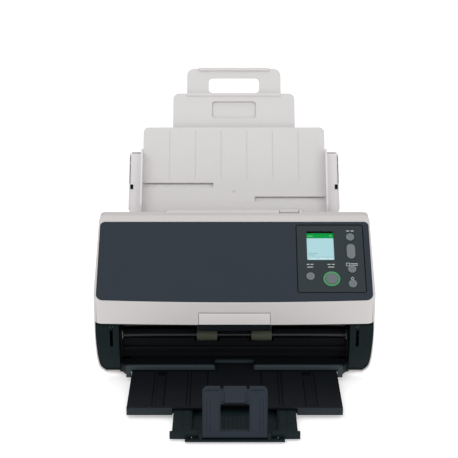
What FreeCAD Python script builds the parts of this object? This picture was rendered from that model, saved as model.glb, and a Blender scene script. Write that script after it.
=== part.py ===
import FreeCAD, Part
import Sketcher
import math
import os

# Desktop sheet fed document scanner: base, opening feeder half, feed chute and sliding stacker.
# Millimetres, +Z up, +X to the right seen from the front, -Y towards the user.
# Geometry is drawn with Y = 0 at the middle of the body; every sub-part is then moved by y_shift
# so that the origin lies under the middle of the whole object, on the surface it stands on.

V = FreeCAD.Vector
os.makedirs("parts", exist_ok=True)
doc = FreeCAD.newDocument("document_scanner")
sheet = doc.addObject("Spreadsheet::Sheet", "Dims")

TABLE = [
    ("y_shift", 16.6563), ("body_w", 300), ("body_d", 170), ("body_top", 160), ("skin", 2.4),
    ("seam_z", 66.3), ("seam_gap", 0.8), ("hinge_y", -78), ("hinge_z", 60), ("ridge_y", 8),
    ("panel_y", -84.5), ("panel_z", 93.5), ("panel_tilt", 37), ("panel_len", 98.5), ("panel_half", 146.6), ("panel_thick", 2),
    ("chute_y", 66), ("chute_z", 140), ("chute_tilt", 51), ("chute_half", 106), ("chute_thick", 3), ("chute_top", 105), ("chute_low", 50),
    ("guide_in", 105.4), ("guide_out", 121.5), ("guide_top", 72.5), ("guide_low", 8), ("guide_high", 17), ("guide_wall", 2),
    ("rack_mid", 24), ("rack_root", 6), ("rack_wide", 5),
    ("key_r", 4.5), ("key_gap", 0.4), ("key_up", 0.9), ("scan_r", 6.6), ("ring_out", 9), ("ring_in", 7),
    ("cheek_in", 123.5), ("frame_in", 121.5), ("frame_thick", 1.8), ("guide_half", 121.2), ("upper_half", 120.8),
    ("shaft_r", 3), ("run_gap", 0.05), ("pick_r", 14), ("feed_r", 8), ("eject_r", 6.5), ("brake_r", 10), ("idler_r", 6), ("eject_idler_r", 5),
    ("pick_y", 32.9), ("pick_z", 76.2), ("brake_y", 14.2), ("brake_z", 91.2), ("feed_y", 9), ("feed_z", 57),
    ("fidler_y", -1.9), ("fidler_z", 65.9), ("eject_y", -58), ("eject_z", 41.5), ("eidler_z", 53.3), ("pulley_r", 6.5), ("eject_pulley_r", 5.2), ("pinion_r", 5),
    ("motor_y", 60), ("motor_z", 40), ("motor_r", 16), ("foot_r", 9), ("foot_tall", 2),
    ("deck_z", 13), ("deck_thick", 2.6), ("stack_half", 110), ("stack_top", 12), ("stack_skin", 1.8), ("stack_front", -174), ("stack_rear", -7),
    ("ext_half", 62), ("ext_top", 9.5), ("ext_skin", 1.8), ("ext_front", -220), ("ext_rear", -90), ("slot_half", 43),
    ("tail_half", 42.5), ("tail_top", 4.2), ("tail_front", -226), ("tail_rear", -110),
    ("stop_y", -221), ("stop_z", 6.9), ("stop_top", 60), ("stop_half", 31.7), ("stop_thick", 4.8),
    ("flap_half", 37.8), ("flap_y", -85.2), ("flap_z", 78.4), ("flap_pin", 1.2),
    ("latch_y", 10.5), ("latch_z", 132), ("latch_r", 2),
]
VALUE = {}
for row, (alias, number) in enumerate(TABLE, start=1):
    sheet.set("A%d" % row, alias)
    sheet.set("B%d" % row, repr(float(number)))
    sheet.setAlias("B%d" % row, alias)
    VALUE[alias] = float(number)
doc.recompute()


class Q:
    """A length that knows both its value and the spreadsheet expression it comes from."""

    def __init__(self, v, t, bound):
        self.v, self.t, self.bound = v, t, bound

    def _op(self, o, sign, v):
        return Q(v, "(%s %s %s)" % (self.t, sign, o.t), self.bound or o.bound)

    def __add__(self, o):
        o = q(o)
        return self._op(o, "+", self.v + o.v)

    def __sub__(self, o):
        o = q(o)
        return self._op(o, "-", self.v - o.v)

    def __mul__(self, o):
        o = q(o)
        return self._op(o, "*", self.v * o.v)

    def __truediv__(self, o):
        o = q(o)
        return self._op(o, "/", self.v / o.v)

    def __neg__(self):
        return q(0) - self

    __radd__ = __add__

    def __rsub__(self, o):
        return q(o) - self

    __rmul__ = __mul__


def q(x):
    if isinstance(x, Q):
        return x
    return Q(float(x), "(%r)" % float(x), False)


def D(alias):
    return Q(VALUE[alias], "Dims." + alias, True)


count = [0]


def uid(stem):
    count[0] += 1
    return "%s_%03d" % (stem, count[0])


def put(obj, prop, value):
    value = q(value)
    setattr(obj, prop, value.v)
    if value.bound:
        obj.setExpression(prop, value.t)


def place(obj, x, y, z, axis=None, angle=0):
    x, y, z, a = q(x), q(y), q(z), q(angle)
    obj.Placement = FreeCAD.Placement(V(x.v, y.v, z.v), FreeCAD.Rotation(V(*(axis or (0, 0, 1))), a.v))
    for name, value in (("x", x), ("y", y), ("z", z)):
        if value.bound:
            obj.setExpression("Placement.Base." + name, value.t)
    if a.bound:
        obj.setExpression("Placement.Rotation.Angle", a.t)


def box(x0, x1, y0, y1, z0, z1):
    o = doc.addObject("Part::Box", uid("block"))
    put(o, "Length", q(x1) - x0)
    put(o, "Width", q(y1) - y0)
    put(o, "Height", q(z1) - z0)
    place(o, x0, y0, z0)
    return o


def rod(x0, x1, y, z, r):
    """Cylinder along X."""
    o = doc.addObject("Part::Cylinder", uid("rod"))
    put(o, "Radius", r)
    put(o, "Height", q(x1) - x0)
    place(o, x0, y, z, (0, 1, 0), 90)
    return o


def post(x, y, z0, z1, r):
    """Cylinder along Z."""
    o = doc.addObject("Part::Cylinder", uid("post"))
    put(o, "Radius", r)
    put(o, "Height", q(z1) - z0)
    place(o, x, y, z0)
    return o


def arc3(p, m, e):
    """Centre, radius and sweep direction of the arc through three points."""
    ax, ay, bx, by, cx, cy = p[0], p[1], m[0], m[1], e[0], e[1]
    d = 2 * (ax * (by - cy) + bx * (cy - ay) + cx * (ay - by))
    ux = ((ax * ax + ay * ay) * (by - cy) + (bx * bx + by * by) * (cy - ay) + (cx * cx + cy * cy) * (ay - by)) / d
    uy = ((ax * ax + ay * ay) * (cx - bx) + (bx * bx + by * by) * (ax - cx) + (cx * cx + cy * cy) * (bx - ax)) / d
    return ux, uy, math.hypot(ax - ux, ay - uy), d > 0


def loop_segments(loop):
    """Turn a loop into segments. Items: (a, b) corner, (a, b, r) rounded corner,
    ("arc", am, bm) makes the edge to the next corner an arc through that point."""
    corners, via = [], {}
    for item in loop:
        if item[0] == "arc":
            via[len(corners) - 1] = (item[1], item[2])
        else:
            corners.append(item)
    n = len(corners)
    starts, ends, rounds = [None] * n, [None] * n, [None] * n
    for i, c in enumerate(corners):
        pos = (q(c[0]), q(c[1]))
        r = c[2] if len(c) > 2 else 0
        if not r:
            starts[i] = ends[i] = pos
            continue
        x, y = pos[0].v, pos[1].v
        px, py = q(corners[i - 1][0]).v, q(corners[i - 1][1]).v
        nx, ny = q(corners[(i + 1) % n][0]).v, q(corners[(i + 1) % n][1]).v
        ux, uy = px - x, py - y
        lu = math.hypot(ux, uy)
        ux, uy = ux / lu, uy / lu
        wx, wy = nx - x, ny - y
        lw = math.hypot(wx, wy)
        wx, wy = wx / lw, wy / lw
        half = math.acos(max(-1, min(1, ux * wx + uy * wy))) / 2
        cut_len = r / math.tan(half)
        bx, by = ux + wx, uy + wy
        lb = math.hypot(bx, by)
        cd = r / math.sin(half)
        ccx, ccy = x + bx / lb * cd, y + by / lb * cd
        ends[i] = (q(x + ux * cut_len), q(y + uy * cut_len))
        starts[i] = (q(x + wx * cut_len), q(y + wy * cut_len))
        mx, my = x - ccx, y - ccy
        lm = math.hypot(mx, my)
        rounds[i] = (ccx + mx / lm * r, ccy + my / lm * r)
    segs = []
    for i in range(n):
        if rounds[i]:
            segs.append((ends[i], starts[i], rounds[i]))
        j = (i + 1) % n
        a, b = starts[i], ends[j]
        if math.hypot(a[0].v - b[0].v, a[1].v - b[1].v) > 1e-6:
            segs.append((a, b, via.get(i)))
    return segs


def draw(sk, loop):
    """Add one closed loop to a sketch with coincident corners and dimensioned positions."""
    first = sk.GeometryCount
    if loop[0] == "circle":
        _, x, y, r = loop
        x, y, r = q(x), q(y), q(r)
        g = sk.addGeometry(Part.Circle(V(x.v, y.v, 0), V(0, 0, 1), r.v), False)
        for kind, val, args in (("DistanceX", x, (-1, 1, g, 3)), ("DistanceY", y, (-1, 1, g, 3)), ("Radius", r, (g,))):
            k = sk.addConstraint(Sketcher.Constraint(kind, *args, val.v))
            if val.bound:
                sk.setExpression("Constraints[%d]" % k, val.t)
        return
    segs = loop_segments(loop)
    order = []
    for a, b, m in segs:
        pa, pb = (a[0].v, a[1].v), (b[0].v, b[1].v)
        if m is None:
            sk.addGeometry(Part.LineSegment(V(pa[0], pa[1], 0), V(pb[0], pb[1], 0)), False)
            order.append((1, 2))
        else:
            cx, cy, r, ccw = arc3(pa, m, pb)
            a0 = math.atan2(pa[1] - cy, pa[0] - cx)
            a1 = math.atan2(pb[1] - cy, pb[0] - cx)
            if not ccw:
                a0, a1 = a1, a0
            if a1 < a0:
                a1 += 2 * math.pi
            sk.addGeometry(Part.ArcOfCircle(Part.Circle(V(cx, cy, 0), V(0, 0, 1), r), a0, a1), False)
            order.append((1, 2) if ccw else (2, 1))
    n = len(segs)
    cons, bind = [], []
    for i in range(n):
        j = (i + 1) % n
        cons.append(Sketcher.Constraint("Coincident", first + i, order[i][1], first + j, order[j][0]))
    for i, (a, b, m) in enumerate(segs):
        for kind, val in (("DistanceX", a[0]), ("DistanceY", a[1])):
            if val.bound:
                bind.append((len(cons), val.t))
            cons.append(Sketcher.Constraint(kind, -1, 1, first + i, order[i][0], val.v))
        if m is not None:
            r = arc3((a[0].v, a[1].v), m, (b[0].v, b[1].v))[2]
            cons.append(Sketcher.Constraint("Radius", first + i, r))
    base = sk.addConstraint(cons)
    for k, text in bind:
        sk.setExpression("Constraints[%d]" % base[k], text)


def prism(plane, loops, lo, hi):
    """Body with one sketch on an origin plane, padded from lo to hi along that plane's axis."""
    body = doc.addObject("PartDesign::Body", uid("body"))
    ref = [f for f in body.Origin.OriginFeatures if f.Role == plane + "_Plane"][0]
    sk = body.newObject("Sketcher::SketchObject", uid("sketch"))
    sk.AttachmentSupport = [(ref, "")]
    sk.MapMode = "FlatFace"
    lo, hi = q(lo), q(hi)
    off = -hi if plane == "XZ" else lo
    sk.AttachmentOffset = FreeCAD.Placement(V(0, 0, off.v), FreeCAD.Rotation())
    if off.bound:
        sk.setExpression("AttachmentOffset.Base.z", off.t)
    if loops and not isinstance(loops[0], list) and loops[0] != "circle" and not (isinstance(loops[0], tuple) and loops[0] and loops[0][0] == "circle"):
        loops = [loops]
    for loop in loops:
        draw(sk, loop)
    pad = body.newObject("PartDesign::Pad", uid("pad"))
    pad.Profile = sk
    put(pad, "Length", hi - lo)
    return body


def fuse(*objs):
    objs = [o for o in objs if o is not None]
    if len(objs) == 1:
        return objs[0]
    o = doc.addObject("Part::MultiFuse", uid("fuse"))
    o.Shapes = list(objs)
    return o


def cut(base, *tools):
    o = doc.addObject("Part::Cut", uid("cut"))
    o.Base = base
    o.Tool = fuse(*tools)
    return o


def common(*objs):
    o = doc.addObject("Part::MultiCommon", uid("common"))
    o.Shapes = list(objs)
    return o


def group(*objs):
    o = doc.addObject("Part::Compound", uid("group"))
    o.Links = list(objs)
    return o


def mirror_x(obj):
    o = doc.addObject("Part::Mirroring", uid("mirror"))
    o.Source = obj
    o.Base = V(0, 0, 0)
    o.Normal = V(1, 0, 0)
    return o


def tilt_panel(obj):
    place(obj, 0, D("panel_y"), D("panel_z"), (1, 0, 0), D("panel_tilt"))
    return obj


def tilt_chute(obj):
    place(obj, 0, D("chute_y"), D("chute_z"), (1, 0, 0), D("chute_tilt"))
    return obj


def strip(points, thick):
    """Closed outline of a bent sheet: the polyline and its copy moved thick to the right of travel."""
    pts = [(q(a).v, q(b).v) for a, b in points]
    back = []
    for i, (x, y) in enumerate(pts):
        dirs = []
        if i > 0:
            dx, dy = x - pts[i - 1][0], y - pts[i - 1][1]
            dirs.append((dx / math.hypot(dx, dy), dy / math.hypot(dx, dy)))
        if i < len(pts) - 1:
            dx, dy = pts[i + 1][0] - x, pts[i + 1][1] - y
            dirs.append((dx / math.hypot(dx, dy), dy / math.hypot(dx, dy)))
        nx = sum(d[1] for d in dirs) / len(dirs)
        ny = sum(-d[0] for d in dirs) / len(dirs)
        ln = nx * nx + ny * ny
        back.append((x + nx / ln * thick, y + ny / ln * thick))
    return list(points) + back[::-1]


NODES = []


def node(label, obj, frame="body", solids=None):
    """Name a finished sub-part and move it to the shared origin."""
    if obj.TypeId in ("Part::Box", "Part::Cylinder"):
        obj = group(obj)
    obj.Label = label
    if frame == "body":
        place(obj, 0, D("y_shift"), 0)
    elif frame == "panel":
        place(obj, 0, D("panel_y") + D("y_shift"), D("panel_z"), (1, 0, 0), D("panel_tilt"))
    else:
        place(obj, 0, D("chute_y") + D("y_shift"), D("chute_z"), (1, 0, 0), D("chute_tilt"))
    NODES.append((label, obj, solids))
    return obj


HW = D("body_w") / 2
HALF = VALUE["body_w"] / 2
TAN = math.tan(math.radians(VALUE["panel_tilt"]))
PY, PZ = VALUE["panel_y"], VALUE["panel_z"]
SLOPE = math.tan(math.radians(VALUE["chute_tilt"]))


def on_slope(y):
    return PZ + (y - PY) * TAN


def seam_y(z, z0=66.3, y0=-6.0):
    return y0 + (z - z0) / SLOPE


# ---------------------------------------------------------------- shared outlines
def plan_outline(inset=0.0):
    """Plan view of the casing: bowed front, rounded front corners."""
    k = inset
    return [(-HALF + k, 100), (-HALF + k, -74.5), ("arc", -147.2 + k * 0.9, -81.6 + k * 0.8), (-140.5 + k * 0.5, -84.9 + k),
            ("arc", 0, -87.9 + k), (140.5 - k * 0.5, -84.9 + k), ("arc", 147.2 - k * 0.9, -81.6 + k * 0.8), (HALF - k, -74.5), (HALF - k, 100)]


def front_outline(inset=0.0):
    """Front view of the casing: tapered sides, tucked-in bottom edges, rounded top corners."""
    k = inset
    return [(-138.5 + k, 3.4 + k), ("arc", -144.4 + k, 9.2 + k * 0.8), (-147.1 + k, 18), ("arc", -149.35 + k, 40), (-HALF + k, 66),
            (-148.4 + k, 151.5), ("arc", -147.2 + k * 0.8, 156.4 - k * 0.5), (-142.6 + k * 0.6, 158.9 - k),
            (-118, 165 - k), (118, 165 - k), (142.6 - k * 0.6, 158.9 - k), ("arc", 147.2 - k * 0.8, 156.4 - k * 0.5), (148.4 - k, 151.5),
            (HALF - k, 66), ("arc", 149.35 - k, 40), (147.1 - k, 18), ("arc", 144.4 - k, 9.2 + k * 0.8), (138.5 - k, 3.4 + k)]


# ---------------------------------------------------------------- feeder half: cover
seam_top = 136.8
cover_profile = [(-95, D("seam_z")), (-95, on_slope(-95)), (-6.4, on_slope(-6.4)), (-4.6, on_slope(-6.4) + 3.0, 1.2), (-0.5, 158.7, 1.5),
                 (7.5, 160, 2.5), (seam_y(seam_top) - 3.8, seam_top + 1.6), (seam_y(seam_top), seam_top), (-6, D("seam_z"))]
cover_outer = common(prism("YZ", cover_profile, -HW, HW), prism("XY", plan_outline(), 55, 170), prism("XZ", front_outline(), -100, 100))
hump = common(prism("XZ", [(-80.5, 156), (-73.5, 163, 2), (73.5, 163, 2), (80.5, 156)], 2, 20),
              prism("YZ", [(2.6, 156), (3.6, 163, 1.5), (10.5, 163, 2), (17.5, 152.5)], -90, 90))
cover_outer = fuse(cover_outer, hump)
inner_slope = 5.0
cover_hollow = prism("YZ", [(-81.9, 50), (-81.9, on_slope(-81.9) - inner_slope, 2), (-3.2, on_slope(-3.2) - inner_slope, 2), (0, 155.6, 1.5),
                            (7.2, 157.0, 2), (seam_y(seam_top) - 5.2, seam_top - 1.1), (70, 127.5), (70, 50)],
                     -HW + D("skin") + 0.2, HW - D("skin") - 0.2)
cover_hollow = common(cover_hollow, prism("XZ", front_outline(2.6), -100, 100))
panel_seat = tilt_panel(group(prism("XY", [(-146.9, 98.8, 5), (-146.9, -6), (146.9, -6), (146.9, 98.8, 5)], -2.2, 6)))
# the seat keeps a thin lip below the panel's bowed lower edge
seat_keep = tilt_panel(group(prism("XY", [(-150, -20), (-146.9, 7), ("arc", -144.6, 1.75), (-139.2, -0.55), ("arc", 0, -2.95), (139.2, -0.55),
                                          ("arc", 144.6, 1.75), (146.9, 7), (150, -20)], -12, 12)))
panel_seat = cut(panel_seat, seat_keep)
window = tilt_panel(group(box(66.6, 141.0, 8.4, 95.4, -12, 2)))
flap_notch = box(-D("flap_half") - 0.45, D("flap_half") + 0.45, -100, -78, 55, D("flap_z") + 2.0)
flap_holes = rod(-41.5, 41.5, D("flap_y"), D("flap_z"), D("flap_pin") + D("run_gap"))
tab_slot = box(55.4, 65.6, 7.9, 20.5, 145, 170)
tab_seat = box(49.4, 71.6, 2.0, 24, 159.6, 170)
feeder_cover = cut(cover_outer, cover_hollow, panel_seat, window, flap_notch, flap_holes, tab_slot, tab_seat)
node("feeder_cover", feeder_cover, solids=1)

# ---------------------------------------------------------------- feeder half: dark top panel and operator island
panel_plate = prism("XY", [(-D("panel_half"), D("panel_len"), 5), (-146.6, 7.2), ("arc", -144.35, 2.0), (-139.0, -0.26), ("arc", 0, -2.6), (139.0, -0.26),
                           ("arc", 144.35, 2.0), (146.6, 7.2), (D("panel_half"), D("panel_len"), 5)], -D("panel_thick"), 0)
node("top_panel", cut(panel_plate, prism("XY", [(67.2, 9.0, 2.5), (140.3, 9.0, 2.5), (140.3, 94.8, 2.5), (67.2, 94.8, 2.5)], -5, 5)), "panel", 1)

KEYS = {"stop_key": (81.3, 29.0), "menu_key": (125.9, 78.7), "feed_key": (126.2, 38.0), "power_key": (126.1, 19.8)}
SCAN = (103.9, 26.0)
ROCK = (126.0, 60.4)
bezel_plate = prism("XY", [(67.6, 9.4, 2.2), (139.9, 9.4, 2.2), (139.9, 94.4, 2.2), (67.6, 94.4, 2.2)], -2.2, -0.15)
bezel_cuts = [prism("XY", [("circle", x, y, D("key_r") + D("key_gap"))], -6, 6) for x, y in KEYS.values()]
bezel_cuts.append(prism("XY", [("circle", SCAN[0], SCAN[1], D("ring_out") + 0.2)], -6, 6))
bezel_cuts.append(prism("XY", [(ROCK[0] - 5.0, ROCK[1] - 9.6, 4.9), (ROCK[0] + 5.0, ROCK[1] - 9.6, 4.9), (ROCK[0] + 5.0, ROCK[1] + 9.6, 4.9), (ROCK[0] - 5.0, ROCK[1] + 9.6, 4.9)], -6, 6))
bezel_cuts.append(prism("XY", [(78.6, 49.9, 1.0), (107.8, 49.9, 1.0), (107.8, 87.0, 1.0), (78.6, 87.0, 1.0)], -6, 6))
node("operator_bezel", cut(bezel_plate, *bezel_cuts), "panel", 1)
node("display_glass", prism("XY", [(78.8, 50.1, 0.9), (107.6, 50.1, 0.9), (107.6, 86.8, 0.9), (78.8, 86.8, 0.9)], -1.7, -0.45), "panel", 1)
node("display_module", prism("XY", [(75.5, 47.5, 1), (110.9, 47.5, 1), (110.9, 90.5, 1), (75.5, 90.5, 1)], -5.4, -2.4), "panel", 1)
board = prism("XY", [(68.2, 10, 1.5), (139.2, 10, 1.5), (139.2, 93.8, 1.5), (68.2, 93.8, 1.5)], -8.6, -7.0)
switches = [box(x - 3, x + 3, y - 3, y + 3, -7.0, -5.4) for x, y in list(KEYS.values()) + [SCAN, (ROCK[0], ROCK[1] + 6), (ROCK[0], ROCK[1] - 6)]]
chips = [box(84, 98, 62, 76, -7.0, -6.2), box(88, 96, 12, 18, -7.0, -5.9)]
node("operator_board", fuse(board, *switches, *chips), "panel", 1)


def key(x, y, r, up):
    cap = prism("XY", [("circle", x, y, r)], -4.4, up)
    skirt = prism("XY", [("circle", x, y, r + 0.9)], -4.4, -3.2)
    return fuse(cap, skirt)


for label, (x, y) in KEYS.items():
    node(label, key(x, y, D("key_r"), D("key_up")), "panel", 1)
node("scan_key", key(SCAN[0], SCAN[1], D("scan_r"), 0.7), "panel", 1)
node("scan_ring", prism("XY", [("circle", SCAN[0], SCAN[1], D("ring_out")), ("circle", SCAN[0], SCAN[1], D("ring_in"))], -2.2, 0.35), "panel", 1)
rock_cap = fuse(prism("XY", [(ROCK[0] - 4.6, ROCK[1] - 9.15, 4.5), (ROCK[0] + 4.6, ROCK[1] - 9.15, 4.5), (ROCK[0] + 4.6, ROCK[1] + 9.15, 4.5), (ROCK[0] - 4.6, ROCK[1] + 9.15, 4.5)], -3.8, D("key_up")), rod(ROCK[0] - 4.85, ROCK[0] + 4.85, ROCK[1], -1.5, 1.0))
node("rocker_key", rock_cap, "panel", 1)

# ---------------------------------------------------------------- feeder half: inner frame along the paper path
upper_line = [(16.4, 94.0), (20.2, 85.0), (2.07, 62.6), (-5.6, 53.6), (-15.0, 50.0), (-52.0, 50.0), (-66.0, 56.6), (-78.5, 67.6)]
upper_wall = prism("YZ", strip(upper_line, 2.4), -D("upper_half"), D("upper_half"))
rear_line = [(44.8, 129.0), (16.4, 94.0)]
rear_wall = prism("YZ", strip([(seam_y(131.5) - 0.2, 131.5), (seam_y(94.0) - 0.2, 94.0)], 2.4), -D("upper_half"), D("upper_half"))
end_loop = [(-78.5, 67.6), (-66.0, 56.6), (-52.0, 50.0), (-15.0, 50.0), (-5.6, 53.6), (2.07, 62.6), (20.2, 85.0), (16.2, 94.0), (45.4, 130.2), (38, 134), (8, 144), (-4, 140), (-78.5, 83)]
end_r = prism("YZ", end_loop, D("upper_half") - 2.4, D("upper_half"))
end_l = prism("YZ", end_loop, -D("upper_half"), -D("upper_half") + 2.4)
beam = box(-D("upper_half"), D("upper_half"), -60, -52, 84, 87)
beam2 = box(-D("upper_half"), D("upper_half"), -14, -6, 118, 121)
gap = D("run_gap")
frame_cuts = [
    rod(-19.5, 19.5, D("brake_y"), D("brake_z"), D("brake_r") + 1.0),
    rod(-37.5, -14.5, D("fidler_y"), D("fidler_z"), D("idler_r") + 1.0), rod(14.5, 37.5, D("fidler_y"), D("fidler_z"), D("idler_r") + 1.0),
    rod(-79.5, -60.5, D("fidler_y"), D("fidler_z"), D("idler_r") + 1.0), rod(60.5, 79.5, D("fidler_y"), D("fidler_z"), D("idler_r") + 1.0),
    rod(-42, -17, D("eject_y"), D("eidler_z"), D("eject_idler_r") + 1.0), rod(17, 42, D("eject_y"), D("eidler_z"), D("eject_idler_r") + 1.0),
    rod(-130, 130, D("brake_y"), D("brake_z"), 2.5 + gap), rod(-130, 130, D("fidler_y"), D("fidler_z"), 2.0 + gap),
    rod(-130, 130, D("eject_y"), D("eidler_z"), 2.0 + gap), rod(-130, 130, D("latch_y"), D("latch_z"), D("latch_r") + gap),
    box(-110.3, 110.3, -44.3, -19.7, 45, 60), box(111.4, 116.6, 18, 44, 106, 129), box(-116.6, -111.4, 18, 44, 106, 129)]
node("feeder_inner_frame", cut(fuse(upper_wall, rear_wall, end_r, end_l, beam, beam2), *frame_cuts), solids=1)
node("upper_scan_glass", box(-110.0, 110.0, -44.0, -20.0, 50.1, 52.1), solids=1)
node("upper_sensor_bar", cut(box(-113, 113, -43, -21, 52.6, 68), box(-108, 108, -35, -29, 50, 60)), solids=1)


def shaft(reach, y, z, r):
    return rod(-q(reach), reach, y, z, r)


def rollers(spans, y, z, r, bore):
    out = []
    for a, b in spans:
        out.append(cut(rod(a, b, y, z, r), rod(a - 1, b + 1, y, z, bore)))
    return out


node("brake_roller", group(shaft(120.4, D("brake_y"), D("brake_z"), 2.5), *rollers([(-18, 18)], D("brake_y"), D("brake_z"), D("brake_r"), 2.5)), solids=2)
node("feed_idlers", group(shaft(120.4, D("fidler_y"), D("fidler_z"), 2.0), *rollers([(-78, -62), (-36, -16), (16, 36), (62, 78)], D("fidler_y"), D("fidler_z"), D("idler_r"), 2.0)), solids=5)
node("eject_idlers", group(shaft(120.4, D("eject_y"), D("eidler_z"), 2.0), *rollers([(-40.5, -18.5), (18.5, 40.5)], D("eject_y"), D("eidler_z"), D("eject_idler_r"), 2.0)), solids=3)

# hinge arms reach from the feeder half down to the hinge line
def hinge_arm(x0, x1):
    plate = prism("YZ", [(-82.6, 60, 0), (-81.2, 70), (-80.6, 86), (-62, 86), (-62, 74), (-73.4, 62)], x0, x1)
    eye = rod(x0, x1, D("hinge_y"), D("hinge_z"), 4.8)
    return cut(fuse(plate, eye), rod(x0 - 1, x1 + 1, D("hinge_y"), D("hinge_z"), 2.0 + gap))


node("hinge_arms", group(hinge_arm(130.4, 132.6), hinge_arm(-132.6, -130.4)), solids=2)

# latch: shaft with two hooks inside, release tab on the ridge
hook_loop = [(7.5, 130), (7.5, 134), (13, 135.5), (30, 125.5), (36.5, 119.8), (34.5, 117.2), (24, 124.5), (12, 129)]
hooks = [cut(fuse(prism("YZ", hook_loop, a, b), rod(a, b, D("latch_y"), D("latch_z"), 4.2)), rod(a - 1, b + 1, D("latch_y"), D("latch_z"), D("latch_r"))) for a, b in ((112, 116), (-116, -112))]
node("latch_hooks", group(shaft(120.4, D("latch_y"), D("latch_z"), D("latch_r")), *hooks), solids=3)
tab_arm = cut(fuse(rod(56, 65, D("latch_y"), D("latch_z"), 4.2), box(56, 65, 9.0, 12.0, 134, 160.6), prism("YZ", [(5.2, 160.1), (5.2, 161.4, 0.5), (9.0, 162.7, 0.8), (15.0, 162.3, 0.8), (15.6, 160.1)], 50.2, 70.8)),
              rod(50, 70, D("latch_y"), D("latch_z"), D("latch_r")))
node("release_tab", tab_arm, solids=1)

# exit guide: light flap with a dark bent lip, on pins in the cover's front wall
flap = fuse(cut(prism("YZ", [(-87.6, 66.2, 0.6), (-87.9, 79.0, 1.2), (-84.4, 79.4, 0.8), (-85.0, 66.2)], -D("flap_half"), D("flap_half")),
                box(-34, 34, -86.0, -80, 60, 74.5)),
            rod(-40.4, 40.4, D("flap_y"), D("flap_z"), D("flap_pin")))
node("exit_guide", flap, solids=1)
node("exit_guide_lip", fuse(prism("YZ", [(-86.9, 66.2), (-84.6, 57.6, 1.5), (-79.0, 55.6), (-78.6, 57.3), (-83.2, 59.3, 1), (-85.1, 66.2)], -D("flap_half") + 0.2, D("flap_half") - 0.2),
                            box(-33.6, 33.6, -86.0, -85.1, 64, 74)), solids=1)

# ---------------------------------------------------------------- base: light side covers
side_profile = [(-83.5, 60), ("arc", -81.9, 30), (-72.4, 3.4), (81.4, 3.4), (81.4, 122.9), (78.4, 126.6), (71.3, 130.6), (70.6, 131.8, 1), (seam_y(136.2, 66.3, -5.2) + 2, 136.6, 1.2),
                (-5.2, D("seam_z") - D("seam_gap")), (-78, D("seam_z") - D("seam_gap")), ("arc", -81.9, 63.9)]
shell_outer = common(prism("YZ", side_profile, -HW, HW), prism("XY", plan_outline(), -5, 170), prism("XZ", front_outline(), -120, 120))
side_inner_profile = [(-95, 62.6), (-95, 5.8), (90, 5.8), (90, 117), (79.4, 120.6), (76.6, 124.4), (69.6, 128.4), (seam_y(131.6, 66.3, -5.2) + 3, 133.0), (-4.0, 63.0), (-95, 63.0)]
shell_inner = common(prism("YZ", side_inner_profile, -HW, HW), prism("XZ", front_outline(2.4), -120, 120))
inner_keep = prism("YZ", [(14, 92), (55, 142), (90, 142), (90, 92)], 124.2, 126.4)
inner_keep_l = prism("YZ", [(14, 92), (55, 142), (90, 142), (90, 92)], -126.4, -124.2)
shell_inner = cut(shell_inner, inner_keep, inner_keep_l)
casing = cut(shell_outer, shell_inner)
# the front ends stay open for the dark cheeks
front_open = common(prism("YZ", [(-95, 62.6), (-95, 5.8), (-68, 5.8), (-68, 70), (-95, 70)], -HW, HW), prism("XZ", front_outline(1.4), -120, 120))
casing = cut(casing, front_open)
arm_slots = [box(129.9, 133.1, -90, -60, 56, 70), box(-133.1, -129.9, -90, -60, 56, 70)]
casing = cut(casing, *arm_slots)
node("right_side_cover", common(casing, box(124.2, 160, -120, 120, 0, 170)), solids=1)
node("left_side_cover", common(casing, box(-160, -124.2, -120, 120, 0, 170)), solids=1)

# ---------------------------------------------------------------- base: dark cheeks beside the exit
cheek_face = [(-82.7, 60), ("arc", -81.1, 30), (-71.7, 6.1), (-69.2, 6.1), ("arc", -78.6, 30), (-80.2, 60), ("arc", -79.6, 61.6), (-78, 62.2), (-68.4, 62.2), (-68.4, 64.9), (-78, 64.9), ("arc", -81.4, 63.4)]
cheek_all = prism("YZ", cheek_face, -HW, HW)
cheek_limit = prism("XZ", front_outline(1.65), -120, 120)
cheek_wall = prism("YZ", [(-81.6, 60), ("arc", -80.0, 30), (-70.6, 6.1), (-70.0, 17), (-22, 17), (-22, 62.0), (-79, 62.0)], D("cheek_in"), 126.0)
cheek_fill = prism("YZ", [(-80.4, 60), (-80.0, 57), (-75.0, 57), (-75.0, 62.4), (-79.6, 62.4)], 126, 138)
pin_hole = rod(100, 150, D("hinge_y"), D("hinge_z"), 2.0)
slot = box(129.9, 133.1, -90, -64, 38.5, 70)
bushing_way = rod(120, 128, D("eject_y"), D("eject_z"), 3.6)
cheek = cut(fuse(common(cheek_all, cheek_limit, box(D("cheek_in"), 160, -120, 0, 0, 90)), cheek_wall, cheek_fill), pin_hole, slot, bushing_way)
node("right_cheek", group(cheek), solids=1)
node("left_cheek", mirror_x(cheek), solids=1)
node("hinge_pins", group(rod(126.5, 137.5, D("hinge_y"), D("hinge_z"), 2.0), rod(-137.5, -126.5, D("hinge_y"), D("hinge_z"), 2.0)), solids=2)

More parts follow.
